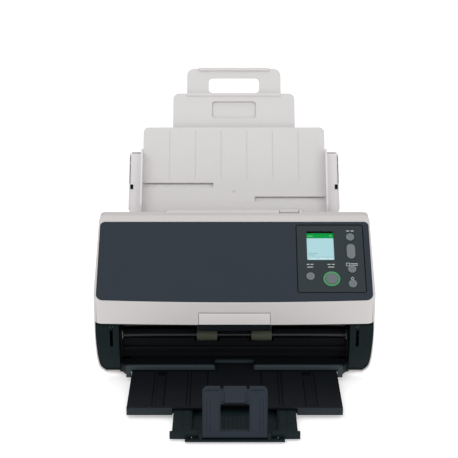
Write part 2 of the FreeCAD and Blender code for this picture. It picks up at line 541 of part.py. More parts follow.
# ---------------------------------------------------------------- base: rear cover with the sockets
rear_outer = prism("YZ", [(81.7, 8), (85, 8), (85, 124.4, 3), (80.8, 129.2, 1), (73.0, 133.4), (71.6, 130.9), (78.6, 127.0), (81.7, 123.2)], -HW, HW)
rear_limit = prism("XY", [(-149.6, 60), (-149.6, 85, 8), (149.6, 85, 8), (149.6, 60)], 0, 170)
rear_plate = common(rear_outer, rear_limit, prism("XZ", front_outline(0.4), -120, 120))
rear_gap = common(prism("YZ", [(60, 126.3), (81.55, 126.3), (81.55, 140), (60, 140)], -HW, HW), box(-160, 160, 60, 100, 100, 180))
sockets = [box(-46.4, -33.6, 78, 90, 28.0, 40.4), box(-72.5, -55.5, 78, 90, 26.6, 41.2), box(53.0, 67.0, 78, 90, 26.0, 39.0)]
vents = [box(-118 + 7 * i, -114 + 7 * i, 78, 90, 60, 84) for i in range(6)] + [box(83 + 7 * i, 87 + 7 * i, 78, 90, 60, 84) for i in range(6)]
node("rear_cover", cut(rear_plate, *(sockets + vents)), solids=1)
usb = cut(box(-46.0, -34.0, 79.2, 84.4, 28.4, 40.0), box(-44.4, -35.6, 80.6, 86, 30.0, 38.4))
usb = fuse(usb, box(-42.6, -37.4, 80.0, 83.6, 33.4, 34.6))
node("data_ports", group(usb, cut(box(-72.1, -55.9, 79.2, 84.4, 27.0, 40.8), box(-70.0, -58.0, 81.0, 86, 29.0, 38.0))), solids=2)
dc = cut(box(53.4, 66.6, 79.2, 84.4, 26.4, 38.6), prism("XZ", [("circle", 60, 32.5, 4.2)], 80.4, 86))
node("dc_inlet", fuse(dc, prism("XZ", [("circle", 60, 32.5, 1.0)], 80.4, 84.0)), solids=1)
node("main_board", fuse(box(-76, 72, 77.4, 79.0, 20, 96), box(-20, 4, 74.4, 77.4, 50, 74), box(20, 34, 75.2, 77.4, 44, 58), box(-60, -36, 75.4, 77.4, 70, 80)), solids=1)

# ---------------------------------------------------------------- base: chassis, deck and sill
tray = fuse(box(-123.3, 123.3, -68, 81.0, D("foot_tall"), 16), box(-134, 134, -66, 80, D("foot_tall"), 3.2))
tray_cuts = [box(-D("stack_half") - 0.8, D("stack_half") + 0.8, -70, 90, 3.2, 20), box(-D("ext_half") - 5, D("ext_half") + 5, -70, 78, 0, 4),
             box(113.0, 121.2, -65.6, 78.6, 4.6, 20), box(-121.2, -113.0, -65.6, 78.6, 4.6, 20)]
screw_xy = [(-117, -36), (117, -36), (-117, 46), (117, 46)]
tray_cuts += [post(x, y, 0, 6, 1.55) for x, y in screw_xy]
foot_xy = [(-121, -56), (121, -56), (-121, 68), (121, 68)]
node("bottom_chassis", cut(tray, *tray_cuts), solids=1)
node("rubber_feet", group(*[post(x, y, 0, D("foot_tall"), D("foot_r")) for x, y in foot_xy]), solids=4)
node("chassis_screws", group(*[fuse(post(x, y, 0.6, 2.0, 3.0), post(x, y, 1.4, 9, 1.5)) for x, y in screw_xy]), solids=4)

dz, dt = D("deck_z"), D("deck_thick")
deck_plate = prism("XY", [(-110.4, 77), (-110.4, -68.4), (-113.2, -73), (-113.2, -84), (-22.35, -84), (-22.35, -70), (22.35, -70), (22.35, -84), (113.2, -84), (113.2, -73), (110.4, -68.4), (110.4, 77)], dz, dz + dt)
sill_section = [(-88.2, 13.6, 0.8), (-88.2, 18.2, 1.2), (-84.6, 18.4, 1.0), (-83.0, 15.0), (-83.0, 13.0), (-87.4, 13.0)]
sill_r = prism("YZ", sill_section, 22.35, 113.2)
sill_l = prism("YZ", sill_section, -113.2, -22.35)
notch_bar = prism("YZ", [(-70.6, 13.0), (-70.6, 17.4, 1), (-67.4, 17.6, 1), (-66.4, 13.0)], -22.35, 22.35)
notch_r = box(20.9, 22.35, -87, -68, dz, 17.6)
notch_l = box(-22.35, -20.9, -87, -68, dz, 17.6)
lug_loop = [(-89.6, 5.0, 1.5), (-88.6, 17.6, 2.0), (-84.0, 18.2, 1), (-81.5, 14.0), (-82.0, 8.0, 1.5), (-85.6, 4.2, 1.0)]
lug_r = prism("YZ", lug_loop, 111.2, 116.2)
lug_l = prism("YZ", lug_loop, -116.2, -111.2)
gus_r = prism("XY", [(112.5, -84.5), (116.0, -84.5), (123.4, -73.6), (123.4, -66.5), (112.5, -66.5)], 12.2, 15.6)
gus_l = prism("XY", [(-112.5, -84.5), (-116.0, -84.5), (-123.4, -73.6), (-123.4, -66.5), (-112.5, -66.5)], 12.2, 15.6)
skirt_r = prism("XY", [(113.2, -84.0), (115.6, -84.0), (123.4, -72.6), (123.4, -68.2), (121.2, -68.2)], 5.4, 13)
skirt_l = prism("XY", [(-113.2, -84.0), (-115.6, -84.0), (-123.4, -72.6), (-123.4, -68.2), (-121.2, -68.2)], 5.4, 13)
deck = fuse(deck_plate, sill_r, sill_l, notch_bar, notch_r, notch_l, lug_r, lug_l, cut(fuse(gus_r, gus_l), box(-125, 125, -68.2, -60, 10, 16.2)), skirt_r, skirt_l)
node("output_deck", deck, solids=1)

# ---------------------------------------------------------------- base: side frames and lower paper guide
frame_loop = [(-64.5, 16.3), (-64.5, 50), (-60, 53), (-12, 55.5), (0, 66), (30, 104), (50, 118), (64, 112), (76.6, 96), (76.6, 16.3)]


def side_frame(s):
    a, b = (D("frame_in"), D("frame_in") + D("frame_thick")) if s > 0 else (-D("frame_in") - D("frame_thick"), -D("frame_in"))
    holes = [rod(100, 140, y, z, 5.0) if s > 0 else rod(-140, -100, y, z, 5.0) for y, z in ((D("pick_y"), D("pick_z")), (D("feed_y"), D("feed_z")), (D("eject_y"), D("eject_z")))]
    return cut(prism("YZ", frame_loop, a, b), *holes)


right_frame = side_frame(1)
node("side_frames", group(cut(right_frame, rod(100, 140, D("motor_y"), D("motor_z"), 7)), side_frame(-1)), solids=2)

lower_line = [(-60, 16.5), (-60, 45.4), (-57.4, 47.6), (-14.6, 47.6), (-6.4, 50.6), (3.47, 61.46), (33.4, 98.4)]
lower_wall = prism("YZ", strip(lower_line, 2.4), -D("guide_half"), D("guide_half"))
ledge = prism("YZ", [(-63.4, 24.6, 0.6), (-63.8, 29.3, 1.0), (-59, 30.2), (-59, 24.6)], -D("guide_half"), D("guide_half"))
ribs = [prism("YZ", [(-59, 17), (-59, 45), (-50, 45.6), (-44, 36), (-44, 17)], x - 1, x + 1) for x in (-116, -60, 0, 60, 116)]
ribs += [prism("YZ", [(-12, 17), (-12, 46), (-3, 50), (0, 44), (0, 17)], x - 1, x + 1) for x in (-116, 116)]
lower_cuts = [rod(a, b, y, z, r) for a, b, y, z, r in (
    (-43, -16, D("eject_y"), D("eject_z"), D("eject_r") + 0.7), (16, 43, D("eject_y"), D("eject_z"), D("eject_r") + 0.7),
    (-38, -14, D("feed_y"), D("feed_z"), D("feed_r") + 0.7), (14, 38, D("feed_y"), D("feed_z"), D("feed_r") + 0.7),
    (-80, -60, D("feed_y"), D("feed_z"), D("feed_r") + 0.7), (60, 80, D("feed_y"), D("feed_z"), D("feed_r") + 0.7),
    (-20, 20, D("pick_y"), D("pick_z"), D("pick_r") + 0.7))]
lower_cuts += [rod(-130, 130, D("eject_y"), D("eject_z"), D("shaft_r") + 0.6), rod(-130, 130, D("feed_y"), D("feed_z"), D("shaft_r") + 0.6),
               rod(-130, 130, D("pick_y"), D("pick_z"), D("shaft_r") + 0.6), box(-110.3, 110.3, -44.3, -19.7, 40, 60), box(-130, 130, -70, -55, 10, 16.2)]
node("lower_paper_guide", cut(fuse(lower_wall, ledge, *ribs), *lower_cuts), solids=1)
node("lower_scan_glass", box(-110.0, 110.0, -44.0, -20.0, 45.4, 47.6), solids=1)
node("lower_sensor_bar", cut(box(-113, 113, -43, -21, 30, 45.0), box(-108, 108, -35, -29, 36, 50)), solids=1)

# rollers and shafts in the base
sr = D("shaft_r")
node("pick_rollers", group(shaft(124.0, D("pick_y"), D("pick_z"), sr), *rollers([(-18, -3), (3, 18)], D("pick_y"), D("pick_z"), D("pick_r") - 0.1, sr)), solids=3)
node("eject_rollers", group(*rollers([(-40.5, -18.5), (18.5, 40.5)], D("eject_y"), D("eject_z"), D("eject_r"), sr)), solids=2)


def pulley(y, z, r, bore):
    return cut(fuse(rod(127.6, 134.4, y, z, r), rod(127.0, 128.0, y, z, r + 1.4), rod(134.0, 135.0, y, z, r + 1.4)), rod(120, 140, y, z, bore))


node("feed_rollers", group(rod(-124.0, 136.5, D("feed_y"), D("feed_z"), sr), pulley(D("feed_y"), D("feed_z"), D("pulley_r"), sr),
                           *rollers([(-78, -62), (-36, -16), (16, 36), (62, 78)], D("feed_y"), D("feed_z"), D("feed_r"), sr)), solids=6)
node("eject_shaft", group(rod(-124.0, 136.5, D("eject_y"), D("eject_z"), sr), pulley(D("eject_y"), D("eject_z"), D("eject_pulley_r"), sr)), solids=2)
node("motor_pinion", fuse(rod(120.0, 134.6, D("motor_y"), D("motor_z"), 2.5), rod(127.6, 134.4, D("motor_y"), D("motor_z"), D("pinion_r"))), solids=1)
node("drive_motor", cut(fuse(rod(76, 119, D("motor_y"), D("motor_z"), D("motor_r")), rod(119, 121.4, D("motor_y"), D("motor_z"), 6.5)), rod(119.6, 140, D("motor_y"), D("motor_z"), 2.5 + gap)), solids=1)
bush = []
for s in (1, -1):
    for y, z in ((D("pick_y"), D("pick_z")), (D("feed_y"), D("feed_z")), (D("eject_y"), D("eject_z"))):
        a, b = (121.3, 123.45) if s > 0 else (-123.45, -121.3)
        bush.append(cut(rod(a, b, y, z, 5.0), rod(a - 1, b + 1, y, z, sr + gap)))
node("shaft_bushings", group(*bush), solids=6)


def belt_loop(circles, grow):
    """Outline of a belt round circles listed counter-clockwise."""
    out, n = [], len(circles)
    touch = []
    for i in range(n):
        (x0, y0, r0), (x1, y1, r1) = circles[i], circles[(i + 1) % n]
        r0, r1 = r0 + grow, r1 + grow
        dx, dy = x1 - x0, y1 - y0
        d = math.hypot(dx, dy)
        base = math.atan2(dy, dx)
        a = base - math.acos((r0 - r1) / d)
        touch.append(((x0 + r0 * math.cos(a), y0 + r0 * math.sin(a)), (x1 + r1 * math.cos(a), y1 + r1 * math.sin(a)), a))
    for i in range(n):
        start, end, a = touch[i]
        nxt = touch[(i + 1) % n]
        cx, cy, r = circles[(i + 1) % n]
        r += grow
        a1 = nxt[2]
        while a1 < a:
            a1 += 2 * math.pi
        mid = (a + a1) / 2
        out += [start, end, ("arc", cx + r * math.cos(mid), cy + r * math.sin(mid))]
    return out


wheels = [(VALUE["eject_y"], VALUE["eject_z"], VALUE["eject_pulley_r"]), (VALUE["motor_y"], VALUE["motor_z"], VALUE["pinion_r"]), (VALUE["feed_y"], VALUE["feed_z"], VALUE["pulley_r"])]
node("drive_belt", prism("YZ", [belt_loop(wheels, 1.5), belt_loop(wheels, 0.3)], 128.6, 133.4), solids=1)

# ---------------------------------------------------------------- feed chute
ch = D("chute_half")
ct = D("chute_thick")
upper_plate = prism("XY", [(-ch, -4), (ch, -4), (ch, D("chute_top"), 6), (-ch, D("chute_top"), 6)], -ct, 0)
low_plate = prism("XY", [(-121.2, -D("chute_low")), (121.2, -D("chute_low")), (121.2, -3), (-121.2, -3)], -ct, 0)
chute_ribs = [box(x - 1, x + 1, -46, -12, -9, -ct) for x in (-90, -30, 30, 90)]
edge_ribs = [box(-ch, -ch + 2.0, 36, 100, -8, -ct), box(ch - 2.0, ch, 36, 100, -8, -ct)]
rm, rr, rw = D("rack_mid"), D("rack_root"), D("rack_wide")
slot_up = box(-ch - 1, -24, rm + rr - 0.4, rm + rr + rw + 0.4, -5, 5)
slot_dn = box(24, ch + 1, rm - rr - rw - 0.4, rm - rr + 0.4, -5, 5)
pinion_hole = post(0, rm, -6, 0.5, 1.5)
grooves = [box(x - 0.5, x + 0.5, 40, 100, -0.5, 1) for x in (-75, -45, -15, 15, 45, 75)]
node("chute_plate", cut(fuse(upper_plate, low_plate, *(chute_ribs + edge_ribs)), slot_up, slot_dn, pinion_hole, *grooves), "chute", 1)

back = fuse(prism("XY", [(-80, 37), (80, 37), (80, 103, 5), (-80, 103, 5)], -15.4, -13.4), box(-80, -77.6, 37, 103, -14, -ct), box(77.6, 80, 37, 103, -14, -ct),
            box(-77.8, -73.0, 38, 103, -7.0, -5.6), box(73.0, 77.8, 38, 103, -7.0, -5.6))
node("chute_back_cover", back, "chute", 1)
ext1 = cut(fuse(prism("XY", [(-72, 84), (72, 84), (72, 152, 7), (-72, 152, 7)], -9.6, -7.3), box(-77.2, 77.2, 84, 92, -9.6, -7.3)),
           prism("XY", [(-26, 120, 4), (26, 120, 4), (26, 142, 4), (-26, 142, 4)], -12, -5))
lip1 = box(-56, 56, 148.6, 152, -8, -6.0)
node("chute_extension_lower", fuse(ext1, lip1), "chute", 1)
ext2 = cut(prism("XY", [(-56, 118), (56, 118), (56, 186, 9), (-56, 186, 9)], -12.4, -10.1), prism("XY", [(-30, 154, 5), (30, 154, 5), (30, 174, 5), (-30, 174, 5)], -15, -8))
lip2 = box(-42, 42, 182.6, 186, -10.6, -7.4)
node("chute_extension_upper", fuse(ext2, lip2), "chute", 1)


# rack and pinion: 12 teeth on a 5 mm pitch radius, racks 1 mm outside the pitch line
PITCH_R = 5.0
pitch = 2 * math.pi * PITCH_R / 12


def side_guide(below):
    """Right-hand guide: wall, outer flange, web through the slot and toothed rack behind the plate."""
    gi, go, gt, gl, gh, gw = D("guide_in"), D("guide_out"), D("guide_top"), D("guide_low"), D("guide_high"), D("guide_wall")
    wall = prism("YZ", [(-gl, 0.4), (gt, 0.4), (gt, gh, 5), (2, gh, 9), (-gl, 9)], gi, gi + gw)
    flange = prism("XY", [(gi, -gl), (go - 3.5, -gl), (go, 4, 3), (go, gt, 3.5), (gi, gt)], 0.4, 2.6)
    rib = prism("YZ", [(2, 2.4), (gt - 4, 2.4), (gt - 4, 3.8), (2, 3.8)], go - 1.6, go - 0.2)
    mark = box(go - 5.2, go - 1.2, 26, 32, 2.0, 3.4)
    notch = box(go - 2.2, go + 1, 58.5, 60.5, 0, 5)
    near = rm - rr if below else rm + rr
    far = near - rw if below else near + rw
    lo, hi = (far, near) if below else (near, far)
    web = box(gi, gi + 4.5, lo, hi, -6.6, 0.6)
    arm = box(-8, gi + 4.5, lo, hi, -6.6, -4.0)
    teeth = []
    out = 1 if below else -1
    for k in range(-3, 32):
        x = pitch * (k + 0.5)
        base, tip = near.v - out * 0.1, near.v + out * 1.65
        teeth.append([(x - 0.85, base), (x + 0.85, base), (x + 0.26, tip), (x - 0.26, tip)] if below else [(x - 0.26, tip), (x + 0.26, tip), (x + 0.85, base), (x - 0.85, base)])
    rack = prism("XY", teeth, -6.6, -4.0)
    return cut(fuse(wall, flange, rib, web, arm, rack, mark), notch)


node("right_guide", side_guide(True), "chute", 1)
node("left_guide", mirror_x(side_guide(False)), "chute", 1)

pinion_loop = []
for k in range(12):
    a = math.radians(30 * k)
    for r, da in ((4.05, -0.2), (PITCH_R, -0.09), (5.68, -0.045), (5.68, 0.045), (PITCH_R, 0.09), (4.05, 0.2)):
        pinion_loop.append((r * math.cos(a + da), VALUE["rack_mid"] + r * math.sin(a + da)))
node("guide_pinion", fuse(prism("XY", pinion_loop, -6.4, -4.2), post(0, rm, -7.6, -0.6, 1.45), post(0, rm, -7.6, -6.4, 3.0)), "chute", 1)

# ---------------------------------------------------------------- stacker: plate and two extensions
sh, st, ss, sf, sb = D("stack_half"), D("stack_top"), D("stack_skin"), D("stack_front"), D("stack_rear")
skin = box(-sh, sh, sf + 2, sb, st - ss, st)
walls = [box(sh - 2.2, sh, sf + 4, sb, 3.5, st - 0.5), box(-sh, -sh + 2.2, sf + 4, sb, 3.5, st - 0.5)]
lip_section = [(sf, 4.0, 1.4), (sf, 12.2, 1.6), (sf + 4.4, 12.2, 0.6), (sf + 4.4, 10.4), (sf + 2.4, 10.0), (sf + 2.4, 4.0)]
lips = [prism("YZ", lip_section, 63.6, sh), prism("YZ", lip_section, -sh, -63.6)]
rails = []
for s in (1, -1):
    a, b = (63.0, 66.0) if s > 0 else (-66.0, -63.0)
    rails.append(box(a, b, sf + 4, sb, 3.7, st - ss + 0.1))
    a, b = (59.4, 63.1) if s > 0 else (-63.1, -59.4)
    rails.append(box(a, b, sf + 6, sb, 3.7, 5.0))
plate = fuse(skin, *(walls + lips + rails))
plate_cuts = [box(-33.4, 33.4, sf - 1, sf + 8.6, 9, 14)]
for x in (28, 46):
    plate_cuts += [box(x - 0.5, x + 0.5, sf + 9, sb - 4, st - 0.7, st + 1), box(-x - 0.5, -x + 0.5, sf + 9, sb - 4, st - 0.7, st + 1)]
plate_cuts += [box(72.2, 81.8, sf + 4.6, -86, st - 0.8, st + 1), box(-81.8, -72.2, sf + 4.6, -86, st - 0.8, st + 1)]
plate_cuts += [box(72.6, 81.4, -97, -89, st - 0.9, 14), box(-81.4, -72.6, -97, -89, st - 0.9, 14)]
corner = prism("XY", [(105, -180), (112, -180), (112, -166), (110.1, -166), (109.6, -170.6), (107.0, -173.4)], 0, 15)
corner_l = prism("XY", [(-105, -180), (-112, -180), (-112, -166), (-110.1, -166), (-109.6, -170.6), (-107.0, -173.4)], 0, 15)
node("stacker_plate", cut(plate, *plate_cuts), solids=1)

eh, et, es, ef, eb, hw = D("ext_half"), D("ext_top"), D("ext_skin"), D("ext_front"), D("ext_rear"), D("slot_half")
skin1 = prism("XY", [(-eh, ef + 3.6), (-36, ef + 3.6), (-hw, ef + 6.5), (-hw, -103, 3), (hw, -103, 3), (hw, ef + 6.5), (36, ef + 3.6), (eh, ef + 3.6), (eh, eb), (-eh, eb)], et - es, et)
bits = [skin1]
for s in (1, -1):
    def span(a, b):
        return (a, b) if s > 0 else (-q(b), -q(a))
    bits.append(box(*span(60.2, eh), ef + 3.5, eb, 5.5, et))
    bits.append(box(*span(hw, 46.8), ef + 3.5, eb, 1.9, et))
    bits.append(prism("YZ", [(ef, 1.9, 1.2), (ef, 9.5, 1.4), (ef + 4.0, 9.5), (ef + 4.0, 1.9)], *span(hw, 64.4)))
    bits.append(prism("YZ", [(ef, 4.7, 0.6), (ef, 9.5, 1.4), (ef + 4.0, 9.5), (ef + 4.0, 4.7)], *span(36.2, 43.2)))
ext_cuts = [box(-44.8, 44.8, ef - 1, eb - 6, 2.55, 4.35)]
ext_cuts += [box(43.9, 45.0, ef + 8, eb - 6, et - 0.6, et + 1), box(-45.0, -43.9, ef + 8, eb - 6, et - 0.6, et + 1)]
ext_cuts += [box(52.0, 52.9, ef + 8, eb - 6, et - 0.5, et + 1), box(-52.9, -52.0, ef + 8, eb - 6, et - 0.5, et + 1)]
node("stacker_extension_1", cut(fuse(*bits), *ext_cuts), solids=1)

th, tt, tf, tb = D("tail_half"), D("tail_top"), D("tail_front"), D("tail_rear")
tail = fuse(prism("XY", [(-th, tf + 4.6), (th, tf + 4.6), (th, tb), (-th, tb)], 2.6, tt), box(-44.4, 44.4, ef + 6, tb, 2.95, 3.95),
            prism("YZ", [(tf, 2.1, 0.8), (tf, 4.5, 0.9), (tf + 5.0, 4.5, 0.6), (tf + 5.0, 2.1)], -49.2, 49.2))
ribs2 = [box(x - 0.6, x + 0.6, ef + 8, tb - 1, tt - 0.1, tt + 0.3) for x in (-41.2, -37.6, -34.4, 34.4, 37.6, 41.2)]
cross = [box(-31.5, 31.5, -216.0, -214.6, tt - 0.1, tt + 0.1)]
lugs = [prism("YZ", [(tf + 1.2, 4.0), (D("stop_y") - 2.6, 7.2, 1.0), (D("stop_y") - 1.4, 9.6, 1.5), (D("stop_y") + 1.4, 9.6, 1.5), (D("stop_y") + 3.0, 4.0)], a, b) for a, b in ((32.2, 35.4), (-35.4, -32.2))]
tail_cuts = [rod(-36, 36, D("stop_y"), D("stop_z"), 1.6 + gap), box(42.6, 46.6, tf + 1.9, tf + 4.4, 3.5, 6), box(-46.6, -42.6, tf + 1.9, tf + 4.4, 3.5, 6)]
node("stacker_extension_2", cut(fuse(tail, *(ribs2 + lugs)), *tail_cuts), solids=1)

# folding stopper: two posts, upper bridge with notches, foot bar and hinge barrel
sy, sz, so, sw = D("stop_y"), D("stop_z"), D("stop_half"), D("stop_thick")
outline = [(-so, 9.0), (-so, D("stop_top"), 5), (-14.2, D("stop_top"), 1.2), (-13.6, 57.0), (-12.0, 57.0), (-11.0, D("stop_top")), (11.0, D("stop_top")), (12.0, 57.0), (13.6, 57.0),
           (14.2, D("stop_top"), 1.2), (so, D("stop_top"), 5), (so, 9.0)]
face = prism("XZ", outline, sy - 2.2, sy + 2.4)
holes = [prism("XZ", [(-14.2, 12.4), (14.2, 12.4), (14.2, 42.5), (9.0, 44.2), (-9.0, 44.2), (-14.2, 42.5)], -300, -150),
         prism("XZ", [(-13.4, 44.4), (-9.8, 44.4), (-9.8, 56.2), (-12.6, 56.2)], sy - 5, sy - 1.2), prism("XZ", [(9.8, 44.4), (13.4, 44.4), (12.6, 56.2), (9.8, 56.2)], sy - 5, sy - 1.2)]
barrel = rod(-so, so, sy, sz, 2.4)
foot = box(-so, so, sy - 2.2, sy + 2.0, sz, 12.4)
pins = rod(-35.2, 35.2, sy, sz, 1.6)
relief = [box(-29.4, -16.6, sy + 0.8, sy + 4, 14, 56), box(16.6, 29.4, sy + 0.8, sy + 4, 14, 56)]
grip = [box(x - 0.5, x + 0.5, sy - 2.9, sy - 1.8, 45.5, 56) for x in (-6, -3, 0, 3, 6)]
pads = [prism("XZ", [(15.6, 13.2), (15.6, 57.6, 1.0), (29.9, 57.6, 3.6), (29.9, 13.2)], sy - 3.0, sy - 2.0), prism("XZ", [(-15.6, 13.2), (-15.6, 57.6, 1.0), (-29.9, 57.6, 3.6), (-29.9, 13.2)], sy - 3.0, sy - 2.0)]
pad_lines = [box(x - 0.35, x + 0.35, sy - 4, sy - 2.5, 14, 50) for x in (-27.4, -24.2, 24.2, 27.4)]
node("stopper", fuse(cut(face, *(holes + relief)), *[cut(pad, *pad_lines) for pad in pads], barrel, foot, pins), solids=1)

# ---------------------------------------------------------------- build, test and write
doc.recompute()
bad = [o.Name for o in doc.Objects if "Invalid" in o.State or "Error" in o.State or "Touched" in o.State]
if bad:
    raise SystemExit("failed objects: %s" % ", ".join(bad[:20]))
lo, hi = [1e9] * 3, [-1e9] * 3
for label, obj, solids in NODES:
    shape = obj.Shape
    if shape.isNull() or not shape.isValid():
        raise SystemExit("bad shape: " + label)
    if solids is not None and len(shape.Solids) != solids:
        raise SystemExit("%s has %d solids, expected %d" % (label, len(shape.Solids), solids))
    if not shape.Solids or shape.Volume <= 0:
        raise SystemExit("no volume: " + label)
    b = shape.BoundBox
    lo = [min(lo[0], b.XMin), min(lo[1], b.YMin), min(lo[2], b.ZMin)]
    hi = [max(hi[0], b.XMax), max(hi[1], b.YMax), max(hi[2], b.ZMax)]
for label, obj, solids in NODES:
    obj.Shape.exportStep("parts/%s.step" % label)
print("nodes %d  box %s %s" % (len(NODES), [round(v, 4) for v in lo], [round(v, 4) for v in hi]))
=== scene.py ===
import math
import bpy
import bmesh
from mathutils import Matrix, Vector


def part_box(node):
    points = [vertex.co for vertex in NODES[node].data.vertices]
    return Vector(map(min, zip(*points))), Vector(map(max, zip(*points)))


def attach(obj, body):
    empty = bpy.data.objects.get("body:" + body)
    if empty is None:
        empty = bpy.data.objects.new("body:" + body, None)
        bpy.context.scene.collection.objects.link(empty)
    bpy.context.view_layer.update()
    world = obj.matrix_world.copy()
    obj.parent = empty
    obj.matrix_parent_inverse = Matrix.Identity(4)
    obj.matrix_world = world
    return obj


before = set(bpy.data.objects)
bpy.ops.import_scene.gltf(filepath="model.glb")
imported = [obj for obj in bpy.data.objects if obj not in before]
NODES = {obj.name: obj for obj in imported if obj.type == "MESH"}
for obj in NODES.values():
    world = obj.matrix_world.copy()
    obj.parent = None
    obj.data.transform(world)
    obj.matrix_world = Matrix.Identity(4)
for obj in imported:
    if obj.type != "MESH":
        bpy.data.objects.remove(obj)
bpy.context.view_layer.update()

scene = bpy.context.scene

# ------------------------------------------------------------------ frames of reference
cover_lo, cover_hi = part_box("feeder_cover")
base_lo, base_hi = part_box("bottom_chassis")
panel_lo, panel_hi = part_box("top_panel")
TILT = math.radians(37.0)
# The panel frame sits on the lower edge of the tilted top panel: local x right, y up the slope, z out of it.
# Its origin follows from the panel's box: the plate is 98.5 mm long, 2 mm thick, with a 2.6 mm bowed edge.
PANEL_Y = panel_hi.y - 0.0985 * math.cos(TILT) - 0.002 * math.sin(TILT)
PANEL_Z = panel_hi.z - 0.0985 * math.sin(TILT)
PANEL = Matrix.Translation((0, PANEL_Y, PANEL_Z)) @ Matrix.Rotation(TILT, 4, "X")
Y0 = PANEL_Y + 0.0845          # row-frame Y of the body's middle
# The chute frame: local x right, y up the chute, z out of the paper side, 51 degrees back from level.
CHUTE = Matrix.Translation((0, Y0 + 0.066, 0.140)) @ Matrix.Rotation(math.radians(51.0), 4, "X")


def srgb(r, g, b):
    def lin(c):
        c = c / 255.0
        return c / 12.92 if c <= 0.04045 else ((c + 0.055) / 1.055) ** 2.4
    return (lin(r), lin(g), lin(b), 1.0)


# ------------------------------------------------------------------ materials
def new_mat(name):
    m = bpy.data.materials.new(name)
    m.use_nodes = True
    nt = m.node_tree
    nt.nodes.clear()
    out = nt.nodes.new("ShaderNodeOutputMaterial")
    bsdf = nt.nodes.new("ShaderNodeBsdfPrincipled")
    nt.links.new(bsdf.outputs[0], out.inputs[0])
    return m, nt, bsdf, out


def coords(nt, scale=(1, 1, 1)):
    tc = nt.nodes.new("ShaderNodeTexCoord")
    mp = nt.nodes.new("ShaderNodeMapping")
    mp.inputs["Scale"].default_value = scale
    nt.links.new(tc.outputs["Object"], mp.inputs["Vector"])
    return mp.outputs["Vector"]


def noise(nt, vec, scale, detail=2.0, rough=0.5):
    n = nt.nodes.new("ShaderNodeTexNoise")
    n.inputs["Scale"].default_value = scale
    n.inputs["Detail"].default_value = detail
    n.inputs["Roughness"].default_value = rough
    nt.links.new(vec, n.inputs["Vector"])
    return n.outputs["Fac"]


def ramp_range(nt, fac, lo, hi, a=0.3, b=0.7):
    r = nt.nodes.new("ShaderNodeMapRange")
    r.inputs["From Min"].default_value = a
    r.inputs["From Max"].default_value = b
    r.inputs["To Min"].default_value = lo
    r.inputs["To Max"].default_value = hi
    nt.links.new(fac, r.inputs["Value"])
    return r.outputs["Result"]


def step_y(nt, y, soft, dark, light):
    """Colour by depth for painted light and shade: lighter in front of y (towards the user), darker behind it."""
    tc = nt.nodes.new("ShaderNodeTexCoord")
    sep = nt.nodes.new("ShaderNodeSeparateXYZ")
    nt.links.new(tc.outputs["Object"], sep.inputs[0])
    r = nt.nodes.new("ShaderNodeMapRange")
    r.inputs["From Min"].default_value = y - soft
    r.inputs["From Max"].default_value = y + soft
    nt.links.new(sep.outputs["Y"], r.inputs["Value"])
    mix = nt.nodes.new("ShaderNodeMix"); mix.data_type = "RGBA"
    mix.inputs["A"].default_value = light
    mix.inputs["B"].default_value = dark
    nt.links.new(r.outputs["Result"], mix.inputs["Factor"])
    return mix.outputs["Result"]


def vary(nt, fac, colour, amount):
    mix = nt.nodes.new("ShaderNodeMix")
    mix.data_type = "RGBA"
    lo = tuple(max(0, c * (1 - amount)) for c in colour[:3]) + (1,)
    hi = tuple(min(1, c * (1 + amount)) for c in colour[:3]) + (1,)
    mix.inputs["A"].default_value = lo
    mix.inputs["B"].default_value = hi
    nt.links.new(fac, mix.inputs["Factor"])
    return mix.outputs["Result"]


def bump(nt, height, strength, distance, prev=None):
    b = nt.nodes.new("ShaderNodeBump")
    b.inputs["Strength"].default_value = strength
    b.inputs["Distance"].default_value = distance
    nt.links.new(height, b.inputs["Height"])
    if prev is not None:
        nt.links.new(prev, b.inputs["Normal"])
    return b.outputs["Normal"]


def plastic(name, colour, rough=0.5, grain=1500.0, grain_strength=0.25, amount=0.03, spec=0.5, coat=0.0, rough_span=0.06):
    """Moulded plastic: fine spark-eroded grain, slight mottling in colour and sheen."""
    m, nt, bsdf, out = new_mat(name)
    vec = coords(nt)
    broad = noise(nt, vec, 22.0, 3.0)
    cloud = noise(nt, vec, 160.0, 2.0)
    fine = noise(nt, vec, grain, 2.0, 0.6)
    nt.links.new(vary(nt, broad, colour, amount), bsdf.inputs["Base Color"])
    nt.links.new(ramp_range(nt, cloud, rough - rough_span, rough + rough_span), bsdf.inputs["Roughness"])
    nt.links.new(bump(nt, fine, grain_strength, 0.00008), bsdf.inputs["Normal"])
    bsdf.inputs["Specular IOR Level"].default_value = spec
    if coat:
        bsdf.inputs["Coat Weight"].default_value = coat
        bsdf.inputs["Coat Roughness"].default_value = 0.25
    return m


def metal(name, colour, rough=0.3, axis=(1, 1, 60)):
    m, nt, bsdf, out = new_mat(name)
    vec = coords(nt, axis)
    streak = noise(nt, vec, 60.0, 4.0, 0.7)
    nt.links.new(vary(nt, streak, colour, 0.08), bsdf.inputs["Base Color"])
    nt.links.new(ramp_range(nt, streak, rough - 0.08, rough + 0.1), bsdf.inputs["Roughness"])
    nt.links.new(bump(nt, streak, 0.15, 0.00005), bsdf.inputs["Normal"])
    bsdf.inputs["Metallic"].default_value = 1.0
    return m


def rubber(name, colour, rough=0.75, grain=900.0):
    m, nt, bsdf, out = new_mat(name)
    vec = coords(nt)
    fine = noise(nt, vec, grain, 3.0, 0.6)
    broad = noise(nt, vec, 60.0, 2.0)
    nt.links.new(vary(nt, broad, colour, 0.08), bsdf.inputs["Base Color"])
    nt.links.new(ramp_range(nt, fine, rough - 0.08, rough + 0.08), bsdf.inputs["Roughness"])
    nt.links.new(bump(nt, fine, 0.4, 0.00015), bsdf.inputs["Normal"])
    bsdf.inputs["Specular IOR Level"].default_value = 0.35
    return m


